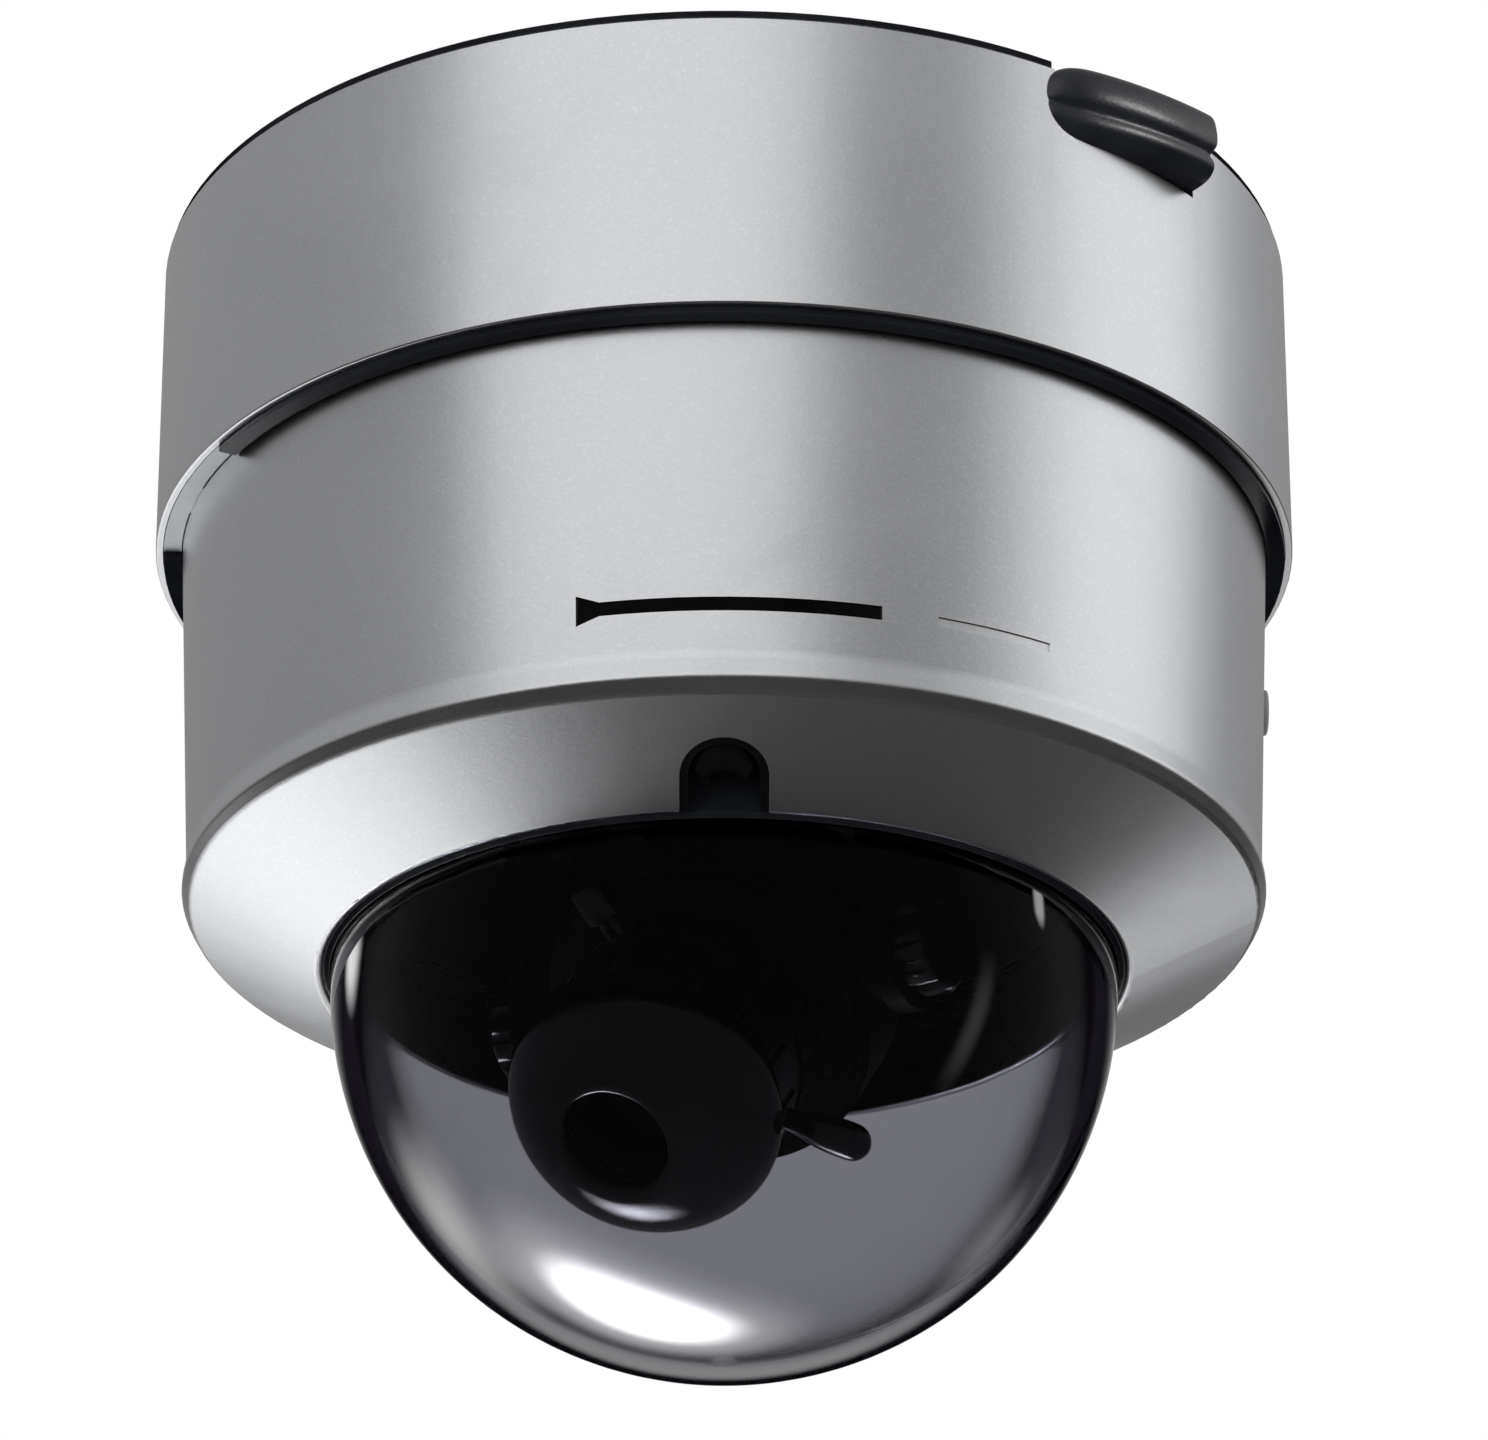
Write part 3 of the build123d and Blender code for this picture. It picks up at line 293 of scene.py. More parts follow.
def glowing_cloth(name, stage_piece):
    """Give a studio piece an empty material that glows without being a lamp, and return its tree."""
    cloth = bpy.data.materials.new(name)
    cloth.use_nodes = True
    cloth.node_tree.nodes.clear()
    cloth.cycles.emission_sampling = "NONE"
    stage_piece.data.materials.append(cloth)
    return cloth.node_tree


def reflection_only(stage_piece):
    """Hide a studio piece from everything but reflections."""
    stage_piece.visible_camera = False
    stage_piece.visible_diffuse = False
    stage_piece.visible_transmission = False
    stage_piece.visible_volume_scatter = False
    stage_piece.visible_shadow = False


tent_mesh = bpy.data.meshes.new("grey_tent")
tent_form = bmesh.new()
bmesh.ops.create_uvsphere(tent_form, u_segments=tent_segments, v_segments=tent_segments // 2,
                          radius=tent_radius)
tent_form.to_mesh(tent_mesh)
tent_form.free()
grey_tent = bpy.data.objects.new("grey_tent", tent_mesh)
grey_tent.location = object_middle
scene.collection.objects.link(grey_tent)

tent_tree = glowing_cloth("tent_cloth", grey_tent)
tent_place = add(tent_tree, "TexCoord")
tent_height = add(tent_tree, "SeparateXYZ", Vector=tent_place.outputs["Object"]).outputs["Z"]
tent_sine = calc(tent_tree, "DIVIDE", tent_height, tent_radius)
tent_level = spread(tent_tree, tent_sine, tent_low, tent_middle, *low_to_middle)
for rise, band in ((tent_side - tent_middle, middle_to_side), (tent_high - tent_side, side_to_high)):
    tent_level = calc(tent_tree, "ADD", tent_level, spread(tent_tree, tent_sine, 0.0, rise, *band))
tent_glow = add(tent_tree, "Emission", Strength=tent_level)
add(tent_tree, "OutputMaterial", Surface=tent_glow.outputs["Emission"])
grey_tent.light_linking.receiver_collection = silver_pieces
reflection_only(grey_tent)
print("tent levels", tent_low, tent_middle, tent_side, tent_high)

# %% [markdown]
# ### Soft-edged cards
# A card could be an area lamp, but a lamp shows as a hard rectangle in polished metal. A glowing sheet that
# fades out towards its edges shows as the soft band of a real window or lamp box. All cards share one mask,
# square or round, and apart from the lamp box only reflections see them.

# %% Soft-edged card, one effect for every card
def new_group(name, inputs, outputs):
    """A node group with named sockets. Returns the group, what comes in and what goes out."""
    group = bpy.data.node_groups.new(name, "ShaderNodeTree")
    for socket_name, value in inputs.items():
        kind = "NodeSocketVector" if isinstance(value, tuple) else "NodeSocketFloat"
        made = group.interface.new_socket(socket_name, in_out="INPUT", socket_type=kind)
        made.default_value = value
    for socket_name in outputs:
        group.interface.new_socket(socket_name, in_out="OUTPUT", socket_type="NodeSocketFloat")
    start = group.nodes.new("NodeGroupInput")
    end = group.nodes.new("NodeGroupOutput")
    return group, start.outputs, end.inputs


def use(tree, group, **values):
    """Place a node group in a material and return its outputs."""
    made = tree.nodes.new("ShaderNodeGroup")
    made.node_tree = group
    for name, value in values.items():
        feed(tree, made.inputs[name.replace("_", " ")], value)
    return made.outputs


soft_card, card_in, card_out = new_group("Soft card", {"Core": 0.5, "Roundness": 0.0}, ["Mask"])
card_place = add(soft_card, "TexCoord")
card_axes = add(soft_card, "SeparateXYZ", Vector=card_place.outputs["Generated"])


def card_fade(from_middle):
    """One inside the core of a card, falling to nothing at its edge."""
    fade = add(soft_card, "MapRange", interpolation_type="SMOOTHSTEP", Value=from_middle)
    feed(soft_card, fade.inputs["From Min"], card_in["Core"])
    fade.inputs["From Max"].default_value = 1.0
    fade.inputs["To Min"].default_value = 1.0
    fade.inputs["To Max"].default_value = 0.0
    return fade.outputs[0]


# both run from 0 at the middle of the card to 1 at its edge
across, along = [
    calc(soft_card, "ABSOLUTE", calc(soft_card, "MULTIPLY_ADD", card_axes.outputs[axis_name], 2.0, -1.0))
    for axis_name in ("X", "Y")]
square_mask = calc(soft_card, "MULTIPLY", card_fade(across), card_fade(along))
squares = [calc(soft_card, "MULTIPLY", distance, distance) for distance in (across, along)]
round_mask = card_fade(calc(soft_card, "SQRT", calc(soft_card, "ADD", squares[0], squares[1])))
card_mix = add(soft_card, "Mix", Factor=card_in["Roundness"], A=square_mask, B=round_mask)
feed(soft_card, card_out["Mask"], card_mix.outputs[0])
print("group", soft_card.name)

# %% [markdown]
# ### Where the cards hang
# A piece that isn't linked to a card still sees it as a black sheet in front of whatever lies behind. The
# cards for the other pieces hang in front of the silver's windows, so they are thin veils that cover
# little, and glow all the more to make up for it.

# %% Hang the cards
silver_card_distance = 1.6
dark_card_distance = 1.35
dark_card_veil = 0.08


def card(name, bearing, elevation, wide, high, level, core, receivers, roundness=0.0):
    """A glowing card. Its bearing runs from the front to the right, its sizes are angles in degrees."""
    for_silver = receivers is silver_pieces
    distance = silver_card_distance if for_silver else dark_card_distance
    veil = 1.0 if for_silver else dark_card_veil
    turn = radians(bearing)
    lift = radians(elevation)
    outward = Vector((cos(lift) * sin(turn), -cos(lift) * cos(turn), sin(lift)))
    made = flat_sheet(name, distance * tan(radians(wide / 2)), distance * tan(radians(high / 2)))
    made.location = object_middle + distance * outward
    made.rotation_euler = outward.to_track_quat("Z", "Y").to_euler()
    tree = glowing_cloth(name, made)
    mask = calc(tree, "MULTIPLY", use(tree, soft_card, Core=core, Roundness=roundness)["Mask"], veil)
    glow = add(tree, "Emission", Strength=level / veil)
    clear = add(tree, "BsdfTransparent")
    both = add(tree, "MixShader", Fac=mask)
    tree.links.new(clear.outputs[0], both.inputs[1])
    tree.links.new(glow.outputs[0], both.inputs[2])
    add(tree, "OutputMaterial", Surface=both.outputs[0])
    made.light_linking.receiver_collection = receivers
    reflection_only(made)
    return made


# name, bearing, elevation, width, height, level, core that doesn't fade, who mirrors it, roundness
cards = [
    card("front_window", -17.0, 30.0, 76.0, 58.0, 0.97, 0.55, silver_pieces),
    card("right_window", 86.0, 25.0, 72.0, 60.0, 1.08, 0.2, silver_pieces),
    card("low_back_panel", -144.0, -35.0, 90.0, 80.0, 1.38, 0.22, silver_pieces),
    card("back_right_panel", 158.0, -22.0, 44.0, 36.0, 0.8, 0.3, silver_pieces),
    card("overhead", 30.0, 62.0, 110.0, 56.0, 0.6, 0.2, dark_pieces, 1.0),
    card("low_softbox", -159.0, -45.0, 43.0, 30.0, 38.0, 0.0, polished_pieces, 1.0),
    card("softbox_halo", -155.0, -47.0, 70.0, 54.0, 9.0, 0.0, polished_pieces, 1.0),
    card("low_left_glow", -137.0, -17.0, 46.0, 32.0, 3.6, 0.0, polished_pieces, 1.0),
    card("low_back_glow", -176.0, -13.0, 80.0, 26.0, 0.55, 0.2, polished_pieces, 1.0),
    card("boot_window", 67.0, 24.0, 10.0, 16.0, 14.0, 0.6, boot_pieces),
    card("side_glint", 101.0, 19.0, 6.0, 9.0, 6.0, 0.3, polished_pieces, 1.0),
    card("dome_streak", 80.0, -14.0, 9.0, 40.0, 1.6, 0.1, dark_pieces),
    card("left_glint", -134.0, 19.0, 16.0, 14.0, 4.0, 0.2, dark_pieces, 1.0),
    card("low_right_glow", 143.0, -16.0, 26.0, 18.0, 0.9, 0.1, dark_pieces, 1.0),
    card("rim_glow", 180.0, 24.0, 70.0, 30.0, 0.5, 0.2, dark_pieces, 1.0),
]
# light that the inside of the dome mirrors leaves through its wall, and has to meet the lamp box there too
bpy.data.objects["low_softbox"].visible_transmission = True
print("cards", [made.name for made in cards])

# %% [markdown]
# ## Effects that several finishes share
# Cast, moulded and machined surfaces differ in scale and strength more than in kind. Each effect is one
# node group with named sockets: a fine grain, worn edges, smudges from hands, and the lines that a lathe
# leaves. A material places the group with its own values, so a change in one place reaches all of them.

# %% Fine grain
fine_grain, grain_in, grain_out = new_group(
    "Fine grain", {"Scale": 1500.0, "Patch Scale": 25.0}, ["Height", "Patches"])
grain_place = add(fine_grain, "TexCoord").outputs["Object"]
grain_bumps = add(fine_grain, "TexNoise", Vector=grain_place, Scale=grain_in["Scale"], Detail=3.0,
                  Roughness=0.6)
grain_patches = add(fine_grain, "TexNoise", Vector=grain_place, Scale=grain_in["Patch Scale"], Detail=4.0,
                    Roughness=0.55)
feed(fine_grain, grain_out["Height"], grain_bumps.outputs["Fac"])
feed(fine_grain, grain_out["Patches"],
     spread(fine_grain, grain_patches.outputs["Fac"], 0.0, 1.0, start=0.3, end=0.7))
print("group", fine_grain.name)

# %% Worn edges
worn_edges, worn_in, worn_out = new_group("Worn edges", {"Width": 0.0006, "Scale": 600.0}, ["Mask"])
worn_normal = add(worn_edges, "Bevel", samples=4, Radius=worn_in["Width"]).outputs["Normal"]
true_normal = add(worn_edges, "NewGeometry").outputs["Normal"]
worn_dot = add(worn_edges, "VectorMath", operation="DOT_PRODUCT")
feed(worn_edges, worn_dot.inputs[0], worn_normal)
feed(worn_edges, worn_dot.inputs[1], true_normal)
worn_curve = spread(worn_edges, worn_dot.outputs["Value"], 1.0, 0.0, start=0.80, end=0.995)
worn_place = add(worn_edges, "TexCoord").outputs["Object"]
worn_noise = add(worn_edges, "TexNoise", Vector=worn_place, Scale=worn_in["Scale"], Detail=4.0)
worn_breaks = spread(worn_edges, worn_noise.outputs["Fac"], 0.25, 1.0, start=0.38, end=0.62)
feed(worn_edges, worn_out["Mask"], calc(worn_edges, "MULTIPLY", worn_curve, worn_breaks))
print("group", worn_edges.name)

# %% Smudges
smudges, smudge_in, smudge_out = new_group("Smudges", {"Scale": 30.0}, ["Mask"])
smudge_place = add(smudges, "TexCoord").outputs["Object"]
smudge_noise = add(smudges, "TexNoise", Vector=smudge_place, Scale=smudge_in["Scale"], Detail=6.0,
                   Roughness=0.65, Distortion=1.2)
feed(smudges, smudge_out["Mask"],
     spread(smudges, smudge_noise.outputs["Fac"], 0.0, 1.0, start=0.45, end=0.75))
print("group", smudges.name)

# %% Lathe lines
upright = (0.0, 0.0, 1.0)
lathe_lines, lathe_in, lathe_out = new_group("Lathe lines", {"Axis": upright, "Pitch": 0.0002}, ["Height"])
lathe_place = add(lathe_lines, "TexCoord").outputs["Object"]
lathe_along = add(lathe_lines, "VectorMath", operation="DOT_PRODUCT")
feed(lathe_lines, lathe_along.inputs[0], lathe_place)
feed(lathe_lines, lathe_along.inputs[1], lathe_in["Axis"])
lathe_count = calc(lathe_lines, "DIVIDE", lathe_along.outputs["Value"], lathe_in["Pitch"])
lathe_noise = add(lathe_lines, "TexNoise", noise_dimensions="1D", W=lathe_count, Scale=1.0, Detail=2.0)
feed(lathe_lines, lathe_out["Height"], lathe_noise.outputs["Fac"])
print("group", lathe_lines.name)

# %% [markdown]
# ## Finishes
# A finish is one material, made by one function and named as the record names its slot. Each starts from
# the Principled shader, takes its colours from two or three near tints instead of one flat colour, and
# lets the same masks move roughness and bump, as dirt and wear do on a real surface.

# %% Start of every finish
finishes = {}


def new_finish(name, **plain):
    """A Principled material with its plain socket values set."""
    made = bpy.data.materials.new(name + "_finish")
    made.use_nodes = True
    tree = made.node_tree
    shader = tree.nodes["Principled BSDF"]
    for socket_name, value in plain.items():
        shader.inputs[socket_name.replace("_", " ")].default_value = value
    finishes[name] = made
    return tree, shader


def raise_bumps(tree, shader, height, depth):
    """Bump from a height, with its full depth in metres."""
    bump = add(tree, "Bump", Strength=1.0, Distance=depth, Height=height)
    feed(tree, shader.inputs["Normal"], bump.outputs["Normal"])


print("finish helper ready")

# %% [markdown]
# ### Satin silver
# The back box and the cover are die-cast aluminium under a fine silver lacquer. It could be a plastic
# shader with a coat, but the soft bands of light in the photograph are those of a metal with a broad
# sheen, so the finish is a metal, with flakes, a slight orange peel and brighter worn edges.

# %% Satin silver
silver_wear = 0.45
flake_share = 0.35
peel_depth = 0.000012


def satin_silver():
    """Fine silver lacquer on cast metal."""
    tree, shader = new_finish("satin_silver", Metallic=1.0)
    grain = use(tree, fine_grain, Scale=900.0, Patch_Scale=14.0)
    wear = use(tree, worn_edges, Width=0.0005, Scale=500.0)["Mask"]
    hands = use(tree, smudges, Scale=22.0)["Mask"]
    place = add(tree, "TexCoord").outputs["Object"]
    flake = add(tree, "TexVoronoi", Vector=place, Scale=3200.0).outputs["Color"]
    flake_value = add(tree, "SeparateColor", Color=flake).outputs["Red"]
    tint = blend(tree, grain["Patches"], colour(0.685, 0.695, 0.715), colour(0.745, 0.755, 0.770))
    tint = blend(tree, spread(tree, flake_value, 0.0, 0.22, start=0.7), tint, colour(0.95, 0.96, 0.98))
    tint = blend(tree, calc(tree, "MULTIPLY", wear, silver_wear), tint, colour(0.86, 0.865, 0.87))
    feed(tree, shader.inputs["Base Color"], tint)
    rough = calc(tree, "ADD", spread(tree, grain["Patches"], 0.29, 0.335), spread(tree, hands, 0.0, 0.045))
    feed(tree, shader.inputs["Roughness"], rough)
    peel = calc(tree, "ADD", grain["Height"], calc(tree, "MULTIPLY", flake_value, flake_share))
    raise_bumps(tree, shader, peel, peel_depth)


satin_silver()
print("finish satin_silver")

# %% [markdown]
# ### Bright machined metal
# The two lugs in the seam are left bright. One of them catches the light at the left of the photograph.
# An even roughness would do from afar, but the lathe lines, laid level, give it the grain of a milled face.

# %% Bright metal
milling_pitch = 0.00012
milling_depth = 0.00001


def bright_metal():
    """Milled aluminium with fine tool marks."""
    tree, shader = new_finish("bright_metal", Metallic=1.0)
    lines = use(tree, lathe_lines, Axis=upright, Pitch=milling_pitch)["Height"]
    grain = use(tree, fine_grain, Scale=2500.0, Patch_Scale=60.0)
    feed(tree, shader.inputs["Base Color"],
         blend(tree, grain["Patches"], colour(0.42, 0.44, 0.46), colour(0.52, 0.535, 0.55)))
    feed(tree, shader.inputs["Roughness"], spread(tree, lines, 0.30, 0.44, start=0.3, end=0.7))
    raise_bumps(tree, shader, lines, milling_depth)


bright_metal()
print("finish bright_metal")

# %% [markdown]
# ### Black rubber, plastics and lacquer
# Nearly everything behind the dome is black, but not the same black. Rubber is soft and slightly blue,
# the moulded parts have an eroded texture, and the lens hood and knobs are glossy. The differences are
# in roughness, grain and the faint paler rim where a moulded edge is rubbed. The grey vent plug is moulded
# too, so the same function makes its finish.

# %% Moulded finishes
patch_share = 0.35
rubbed_share = 0.55


def moulded_finish(name, deep, rubbed, rough, grain_scale, depth, edge, smudge_rough=0.05, gloss=0.5):
    """A moulded surface with its own tint, gloss, grain and rubbed edges."""
    tree, shader = new_finish(name, Specular_IOR_Level=gloss)
    grain = use(tree, fine_grain, Scale=grain_scale, Patch_Scale=45.0)
    wear = use(tree, worn_edges, Width=edge, Scale=700.0)["Mask"]
    hands = use(tree, smudges, Scale=55.0)["Mask"]
    tint = blend(tree, calc(tree, "MULTIPLY", grain["Patches"], patch_share), deep, rubbed)
    tint = blend(tree, calc(tree, "MULTIPLY", wear, rubbed_share), tint, rubbed)
    feed(tree, shader.inputs["Base Color"], tint)
    smudged = calc(tree, "MULTIPLY", hands, smudge_rough)
    feed(tree, shader.inputs["Roughness"],
         calc(tree, "ADD", spread(tree, grain["Patches"], *rough), smudged))
    raise_bumps(tree, shader, grain["Height"], depth)


moulded_finish("black_rubber", colour(0.008, 0.009, 0.012), colour(0.030, 0.033, 0.040),
               rough=(0.18, 0.26), grain_scale=1800.0, depth=0.00003, edge=0.0006, smudge_rough=0.10)
moulded_finish("black_plastic", colour(0.004, 0.004, 0.0045), colour(0.012, 0.012, 0.013),
               rough=(0.50, 0.62), grain_scale=2600.0, depth=0.00002, edge=0.0004, gloss=0.06)
moulded_finish("gloss_black", colour(0.003, 0.003, 0.0035), colour(0.010, 0.010, 0.011),
               rough=(0.09, 0.14), grain_scale=500.0, depth=0.000003, edge=0.0003, gloss=0.8)
moulded_finish("component_black", colour(0.014, 0.014, 0.015), colour(0.045, 0.045, 0.047),
               rough=(0.48, 0.62), grain_scale=6000.0, depth=0.00001, edge=0.0002)
moulded_finish("vent_plastic", colour(0.25, 0.255, 0.265), colour(0.36, 0.365, 0.375),
               rough=(0.38, 0.50), grain_scale=2600.0, depth=0.00003, edge=0.0003)
print("moulded finishes", [name for name in finishes if "black" in name or "plastic" in name])

# %% [markdown]
# ### Black anodised lens parts and screws
# The lens tube and its rings are turned on a lathe and anodised, so their lines run round the lens axis.
# That axis comes from the record's joints, and the lines stay right when the head is aimed elsewhere,
# because they are laid out in the piece's own space. Screws are steel, black oxide where they show.

# %% Turned and plated metals
joints = {joint["name"]: joint for joint in frame["joints"]}
lens_axis = Vector(joints["lens_turn"]["axis"])
plating_wear = 0.5
lathe_depth = 0.000015


def turned_metal(name, axis, dark, light, pitch, rough, metallic):
    """Metal with lathe lines across an axis and a plating that varies a little."""
    tree, shader = new_finish(name, Metallic=metallic)
    lines = use(tree, lathe_lines, Axis=axis, Pitch=pitch)["Height"]
    grain = use(tree, fine_grain, Scale=3000.0, Patch_Scale=80.0)
    wear = use(tree, worn_edges, Width=0.0003, Scale=900.0)["Mask"]
    tint = blend(tree, grain["Patches"], dark, light)
    tint = blend(tree, calc(tree, "MULTIPLY", wear, plating_wear), tint, light)
    feed(tree, shader.inputs["Base Color"], tint)
    feed(tree, shader.inputs["Roughness"], spread(tree, lines, *rough, start=0.3, end=0.7))
    raise_bumps(tree, shader, lines, lathe_depth)


turned_metal("black_metal", lens_axis, colour(0.008, 0.008, 0.009), colour(0.020, 0.020, 0.022),
             pitch=0.00018, rough=(0.28, 0.42), metallic=0.6)
turned_metal("dark_steel", upright, colour(0.012, 0.012, 0.013), colour(0.034, 0.034, 0.036),
             pitch=0.00015, rough=(0.42, 0.56), metallic=0.7)
turned_metal("zinc_steel", upright, colour(0.55, 0.56, 0.58), colour(0.68, 0.68, 0.66),
             pitch=0.00020, rough=(0.22, 0.38), metallic=1.0)
turned_metal("can_metal", upright, colour(0.70, 0.71, 0.73), grey(0.80),
             pitch=0.00030, rough=(0.20, 0.34), metallic=1.0)
print("metal finishes", [name for name in finishes if "metal" in name or "steel" in name])

# %% [markdown]
# ### Smoked dome and lens glass
# The dome is polycarbonate with a grey tint through its whole wall. Light that grazes the edge of the dome
# travels far through that wall and turns dark. An absorbing volume would do that, but renders slowly, so a
# dark edge is painted into the glass colour instead: Layer Weight darkens it where the wall turns away, and
# the height darkens it more near the rim than at the pole. That dark edge is partly the real darkening and
# partly painted shade. A perfectly clean dome looks like a drawing, so faint smudges change its roughness
# a little.

# %% Glass
dome_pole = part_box("dome")[0].z
dome_rise = 0.048
# the painted edge shade is weaker at the pole and stronger towards the rim
pole_edge_shade = -0.14
rim_edge_shade = 0.10
# how far the wall is turned away where the painted edge shade starts, and where it is darkest
edge_shade_range = (0.56, 0.72)


def smoked_dome():
    """Grey polycarbonate with faint smudges and a painted dark edge."""
    tree, shader = new_finish("smoked_dome", Transmission_Weight=1.0, IOR=1.58,
                              Specular_Tint=colour(0.20, 0.20, 0.21))
    hands = use(tree, smudges, Scale=16.0)["Mask"]
    wall = blend(tree, hands, colour(0.412, 0.412, 0.444), colour(0.390, 0.390, 0.420))
    turned_away = add(tree, "LayerWeight", Blend=0.5).outputs["Facing"]
    place = add(tree, "TexCoord").outputs["Object"]
    height = add(tree, "SeparateXYZ", Vector=place).outputs["Z"]
    # painted shade: the glass colour turns near black where the wall turns away from the view, more near the rim
    height_edge_shade = spread(tree, height, pole_edge_shade, rim_edge_shade, dome_pole, dome_pole + dome_rise)
    deep = spread(tree, calc(tree, "ADD", turned_away, height_edge_shade), 0.0, 1.0, *edge_shade_range)
    feed(tree, shader.inputs["Base Color"], blend(tree, deep, wall, colour(0.0035, 0.0024, 0.0055)))
    feed(tree, shader.inputs["Roughness"], spread(tree, hands, 0.012, 0.05))


def lens_glass():
    """Coated glass whose reflections are tinted violet."""
    tree, shader = new_finish("lens_glass", Transmission_Weight=1.0, IOR=1.62, Specular_IOR_Level=0.2,
                              Specular_Tint=colour(0.25, 0.22, 0.32))
    hands = use(tree, smudges, Scale=120.0)["Mask"]
    feed(tree, shader.inputs["Base Color"],
         blend(tree, hands, colour(0.90, 0.95, 0.97), colour(0.84, 0.88, 0.92)))
    feed(tree, shader.inputs["Roughness"], spread(tree, hands, 0.0, 0.02))


smoked_dome()
lens_glass()
print("glass finishes", [name for name in finishes if "dome" in name or "glass" in name])

# %% [markdown]
# ### Circuit boards and terminals
# The boards are hidden until the cover comes off. Tracks could be drawn one by one, but a fine cell pattern
# under the green lacquer is how such boards look from a hand's width away.

# %% Boards
track_depth = 0.00003


def circuit_board():
    """Green lacquer over copper tracks."""
    tree, shader = new_finish("circuit_board")
    place = add(tree, "TexCoord").outputs["Object"]
    tracks = add(tree, "TexBrick", Vector=place, Scale=160.0, Mortar_Size=0.05, Mortar_Smooth=0.2)
    grain = use(tree, fine_grain, Scale=3000.0, Patch_Scale=50.0)
    lacquer = blend(tree, grain["Patches"], colour(0.008, 0.075, 0.030), colour(0.014, 0.105, 0.042))
    feed(tree, shader.inputs["Base Color"],
         blend(tree, tracks.outputs["Fac"], lacquer, colour(0.035, 0.190, 0.070)))
    feed(tree, shader.inputs["Roughness"], spread(tree, grain["Patches"], 0.28, 0.42))
    raise_bumps(tree, shader, tracks.outputs["Fac"], track_depth)


circuit_board()
moulded_finish("terminal_green", colour(0.020, 0.200, 0.075), colour(0.045, 0.290, 0.120),
               rough=(0.36, 0.48), grain_scale=2600.0, depth=0.00003, edge=0.0003)
print("board finishes", ["circuit_board", "terminal_green"])

# %% [markdown]
# ## Dress the nodes
# The record already says which slot each node takes, so no list of nodes is repeated here. A node keeps
# its mesh and its place and only gets the finish of its slot.

# %% Dress every node
for part in frame["record"]["subparts"]:
    mesh = nodes[part["node"]].data
    mesh.materials.clear()
    mesh.materials.append(finishes[part["material_slot"]])

# %% [markdown]
# ## Rounded pieces
# Three solids are plainer than the real pieces, which swell, bulge or end in a round tip. A rounded mesh
# takes the place of each. It could be sculpted, but a few rings of points, shaped by subdivision, can be
# read and changed. Each mesh rides on the body that carries its solid, and its sizes are in millimetres.

# %% Helper for new pieces
def new_piece(name, body, slot, mirrors, corners, faces, levels):
    """A smooth mesh that rides on a body, with the finish of a slot and the cards of its groups."""
    mesh = bpy.data.meshes.new(name)
    mesh.from_pydata(corners, [], faces)
    mesh.materials.append(finishes[slot])
    mesh.shade_smooth()
    made = bpy.data.objects.new(name, mesh)
    scene.collection.objects.link(made)
    for group in mirrors:
        group.objects.link(made)
    rounding = made.modifiers.new("rounding", "SUBSURF")
    rounding.levels = levels
    rounding.render_levels = levels
    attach(made, body)
    return made


def skin(rings, loop=False):
    """Faces between rings of points. Both ends are closed, or joined to each other in a loop."""
    corners = [corner for ring in rings for corner in ring]
    count = len(rings[0])
    faces = []
    for row in range(len(rings) if loop else len(rings) - 1):
        low = row * count
        high = (row + 1) % len(rings) * count
        for column in range(count):
            after = (column + 1) % count
            faces.append((low + column, low + after, high + after, high + column))
    if not loop:
        faces.append(tuple(reversed(range(count))))
        faces.append(tuple(range((len(rings) - 1) * count, len(rings) * count)))
    return corners, faces


def circle(middle, first, second, count):
    """Points round a middle, from two radii that are square to each other."""
    angles = [2 * pi * step / count for step in range(count)]
    return [middle + first * cos(angle) + second * sin(angle) for angle in angles]


print("piece helpers ready")

# %% [markdown]
# ### Rubber boot
# The boot is a soft bar in a notch of the rim, where a cable would leave. The solid model has a plain bar
# with a channel. Real rubber has no straight edges: its lips swell over the wall, its nose is round and
# its blunt end draws in between the lips. One section is carried along the bar, shrinks towards the nose
# and is then subdivided, which gives a moulded form with few points.

# %% Rubber boot
millimetre = 0.001
boot_bearing = radians(35.0)
boot_face = 84.0
boot_end = 25.8
boot_end_edge = 0.5
boot_end_shares = (0.97, 0.80)
boot_stations = (6.0, 11.0, 16.0, 20.5, 23.8)
boot_nose = 3.9
boot_nose_radius = 7.0
boot_nose_turns = (6, 20, 38, 58, 78)
boot_nose_power = 2.6
boot_middle = (-2.5, -5.8)
# the front of the section swells, its lower half rises towards the blunt end, where the crease draws in
boot_swell = 1.2
boot_swell_from = -2.0
boot_rise = 0.24
boot_draw_in = 1.3
bore_middle = (-4.0, -5.5)
bore_radius = 2.2
bore_edge = 0.6
bore_depth = 12.0
# each point of the section: how far it stands out from the flat face, and its height
boot_section = [(-9.0, 0.0), (-5.0, 0.0), (-1.6, 0.0), (-0.6, -0.8), (-0.1, -2.6), (0.1, -4.4), (0.0, -6.0),
                (-0.7, -7.2), (-0.7, -7.9), (-0.5, -9.0), (-1.2, -11.0), (-2.8, -12.0), (-5.5, -12.0),
                (-9.0, -12.0)]
crease_points = (7, 8)


def boot_place(x, out, z):
    """A point of the boot, turned from its own axes to the model's."""
    return Matrix.Rotation(boot_bearing, 3, "Z") @ Vector((x, -boot_face - out, z)) * millimetre


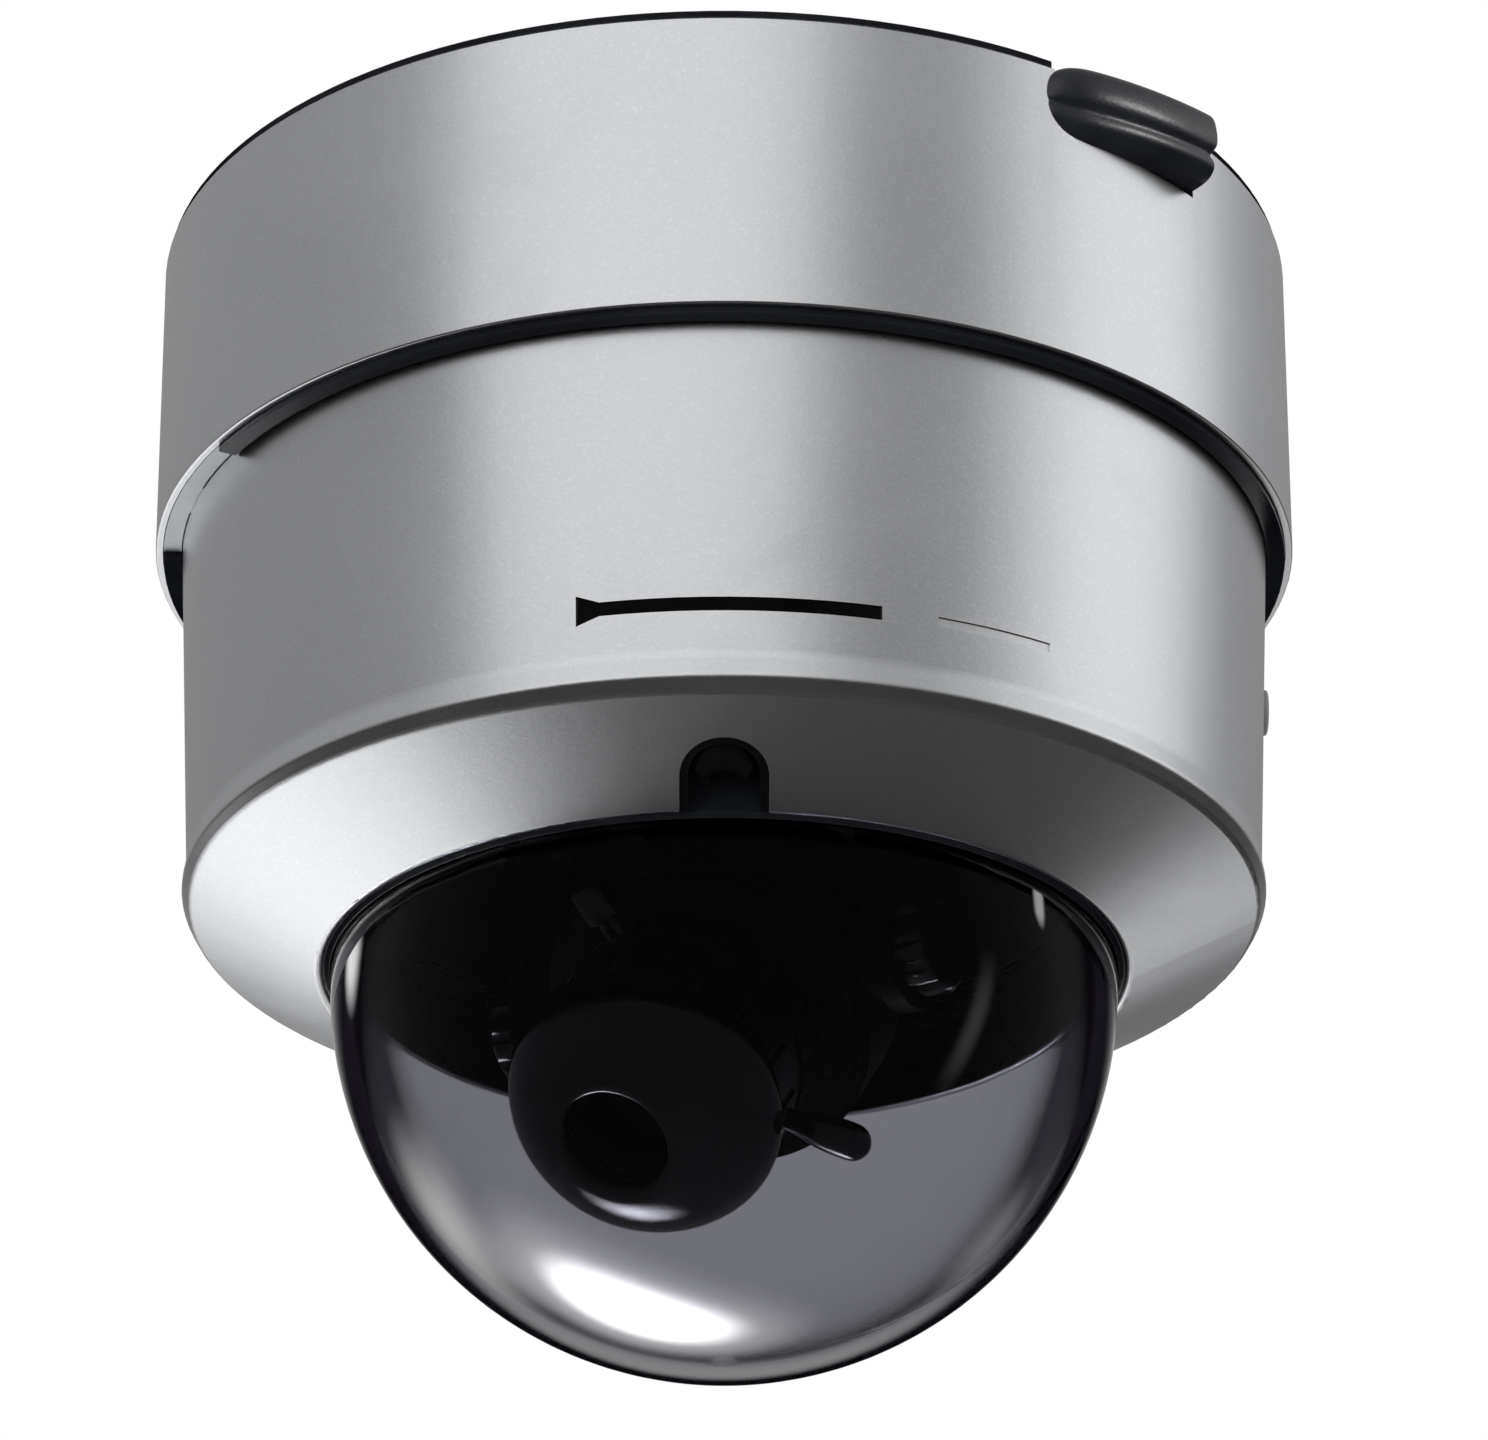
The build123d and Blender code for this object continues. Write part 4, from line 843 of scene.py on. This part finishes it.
def boot_ring(x, width=1.0, height=1.0, draw_in=0.0):
    """The section at one station of the bar, shrunk towards its middle."""
    middle_out, middle_z = boot_middle
    swell = boot_swell * (1.0 - (2.0 * x / boot_end - 1.0) ** 2)
    points = []
    for index, (out, z) in enumerate(boot_section):
        stands = middle_out + (out + (swell if out > boot_swell_from else 0.0) - middle_out) * width
        drawn = draw_in if index in crease_points else 0.0
        drop = (z - middle_z) * height
        if drop < 0.0:
            drop *= 1.0 - boot_rise * max(0.0, x / boot_end)
        points.append(boot_place(x - drawn, stands, middle_z + drop))
    return points


def bore_ring(x):
    """The mouth or the floor of the cable bore, one point for each point of the section."""
    middle_out, middle_z = bore_middle
    points = []
    for out, z in boot_section:
        ray = Vector((out - middle_out, z - middle_z)).normalized() * bore_radius
        points.append(boot_place(x, middle_out + ray.x, middle_z + ray.y))
    return points


boot_rings = []
for turn in boot_nose_turns:
    reach = cos(radians(turn))
    height = (1.0 - reach ** boot_nose_power) ** (1.0 / boot_nose_power)
    boot_rings.append(boot_ring(boot_nose - boot_nose_radius * reach, sin(radians(turn)), height))
boot_rings += [boot_ring(x) for x in boot_stations]
boot_rings.append(boot_ring(boot_end - boot_end_edge, draw_in=boot_draw_in))
for share, draw_in in zip(boot_end_shares, (boot_draw_in, boot_draw_in / 2)):
    boot_rings.append(boot_ring(boot_end, share, share, draw_in))
boot_rings += [bore_ring(boot_end - depth) for depth in (0.0, bore_edge, bore_depth)]
boot_skin = new_piece("boot_skin", "housing", "black_rubber", (silver_pieces, boot_pieces),
                      *skin(boot_rings), levels=2)
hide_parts("cable_boot")
print("boot of", len(boot_rings), "rings")

# %% [markdown]
# ### Lens hood
# Behind the dome the front of the lens is a smooth black ball with a small mouth, and a soft crescent of
# light lies on its lower lip. A turned part could be made with a Screw modifier. A loop of rings is just
# as short, stays a plain closed mesh, and lets the profile roll over the lip and back to the barrel.

# %% Lens hood
lens_pivot = Vector(joints["lens_turn"]["pos_m"])
lens_across = lens_axis.orthogonal().normalized()
lens_over = lens_axis.cross(lens_across)
hood_segments = 32
hood_ball = 15.0
hood_ball_middle = (5.2, 28.2)
hood_ball_turns = (78, 64, 50, 37, 25, 14)
# each point of the profile: its distance from the lens axis, and its distance from the pivot along it
hood_root = [(15.15, 31.0), (15.15, 28.0), (15.4, 27.4), (16.8, 27.4), (18.2, 27.6), (19.2, 28.4),
             (19.6, 29.6)]
hood_mouth = [(7.9, 42.6), (7.3, 41.8), (7.3, 40.4), (8.4, 37.8), (10.6, 35.2), (12.4, 33.2), (12.5, 32.0),
              (12.9, 31.65), (14.6, 31.65), (15.15, 31.5)]
hood_front = []
for turn in hood_ball_turns:
    hood_front.append((hood_ball_middle[0] + hood_ball * sin(radians(turn)),
                       hood_ball_middle[1] + hood_ball * cos(radians(turn))))


def hood_ring(distance, along):
    """A circle of points round the lens axis."""
    middle = lens_pivot + lens_axis * along * millimetre
    radius = distance * millimetre
    return circle(middle, lens_across * radius, lens_over * radius, hood_segments)


hood_profile = hood_root + hood_front + hood_mouth
hood_shell = new_piece("hood_shell", "lens_head", "gloss_black", (dark_pieces, polished_pieces),
                       *skin([hood_ring(*point) for point in hood_profile], loop=True), levels=2)
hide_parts("lens_hood")
print("hood of", len(hood_profile), "rings")

# %% [markdown]
# ### Focus peg
# The lever of the focus ring shows as a rounded peg against the pale lower half of the dome. The solid
# lever is a plain turned pin, so this peg takes its place and its axis from that pin's own points and only
# gives it a waist and a round tip.

# %% Focus peg
peg_segments = 16
peg_neck = 1.6
peg_head = 2.75
peg_tip = 2.6
peg_tip_turns = (0, 25, 50, 72, 88)
# each point of the shaft: its distance from the root, and its radius
peg_shaft = [(0.0, peg_neck), (0.4, peg_neck), (4.4, peg_neck), (6.2, 0.85 * peg_head),
             (8.4, 0.96 * peg_head)]
lever_points = [point.co - lens_pivot for point in nodes["focus_lever"].data.vertices]
lever_middle = sum(lever_points, Vector()) / len(lever_points)
peg_along = lever_middle.dot(lens_axis)
peg_outward = (lever_middle - lens_axis * peg_along).normalized()
peg_over = lens_axis.cross(peg_outward)
peg_reaches = [point.dot(peg_outward) / millimetre for point in lever_points]
peg_root = min(peg_reaches)
peg_end = max(peg_reaches)
peg_profile = [(peg_root + along, radius) for along, radius in peg_shaft]
for turn in peg_tip_turns:
    peg_profile.append((peg_end - peg_tip + peg_tip * sin(radians(turn)), peg_head * cos(radians(turn))))


def peg_ring(reach, radius):
    """A circle of points round the axis of the peg."""
    middle = lens_pivot + lens_axis * peg_along + peg_outward * reach * millimetre
    size = radius * millimetre
    return circle(middle, lens_axis * size, peg_over * size, peg_segments)


focus_peg = new_piece("focus_peg", "focus_control", "gloss_black", (dark_pieces, polished_pieces),
                      *skin([peg_ring(*point) for point in peg_profile]), levels=1)
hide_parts("focus_lever")
print("peg of", len(peg_profile), "rings, reach in mm", round(peg_root, 1), "to", round(peg_end, 1))
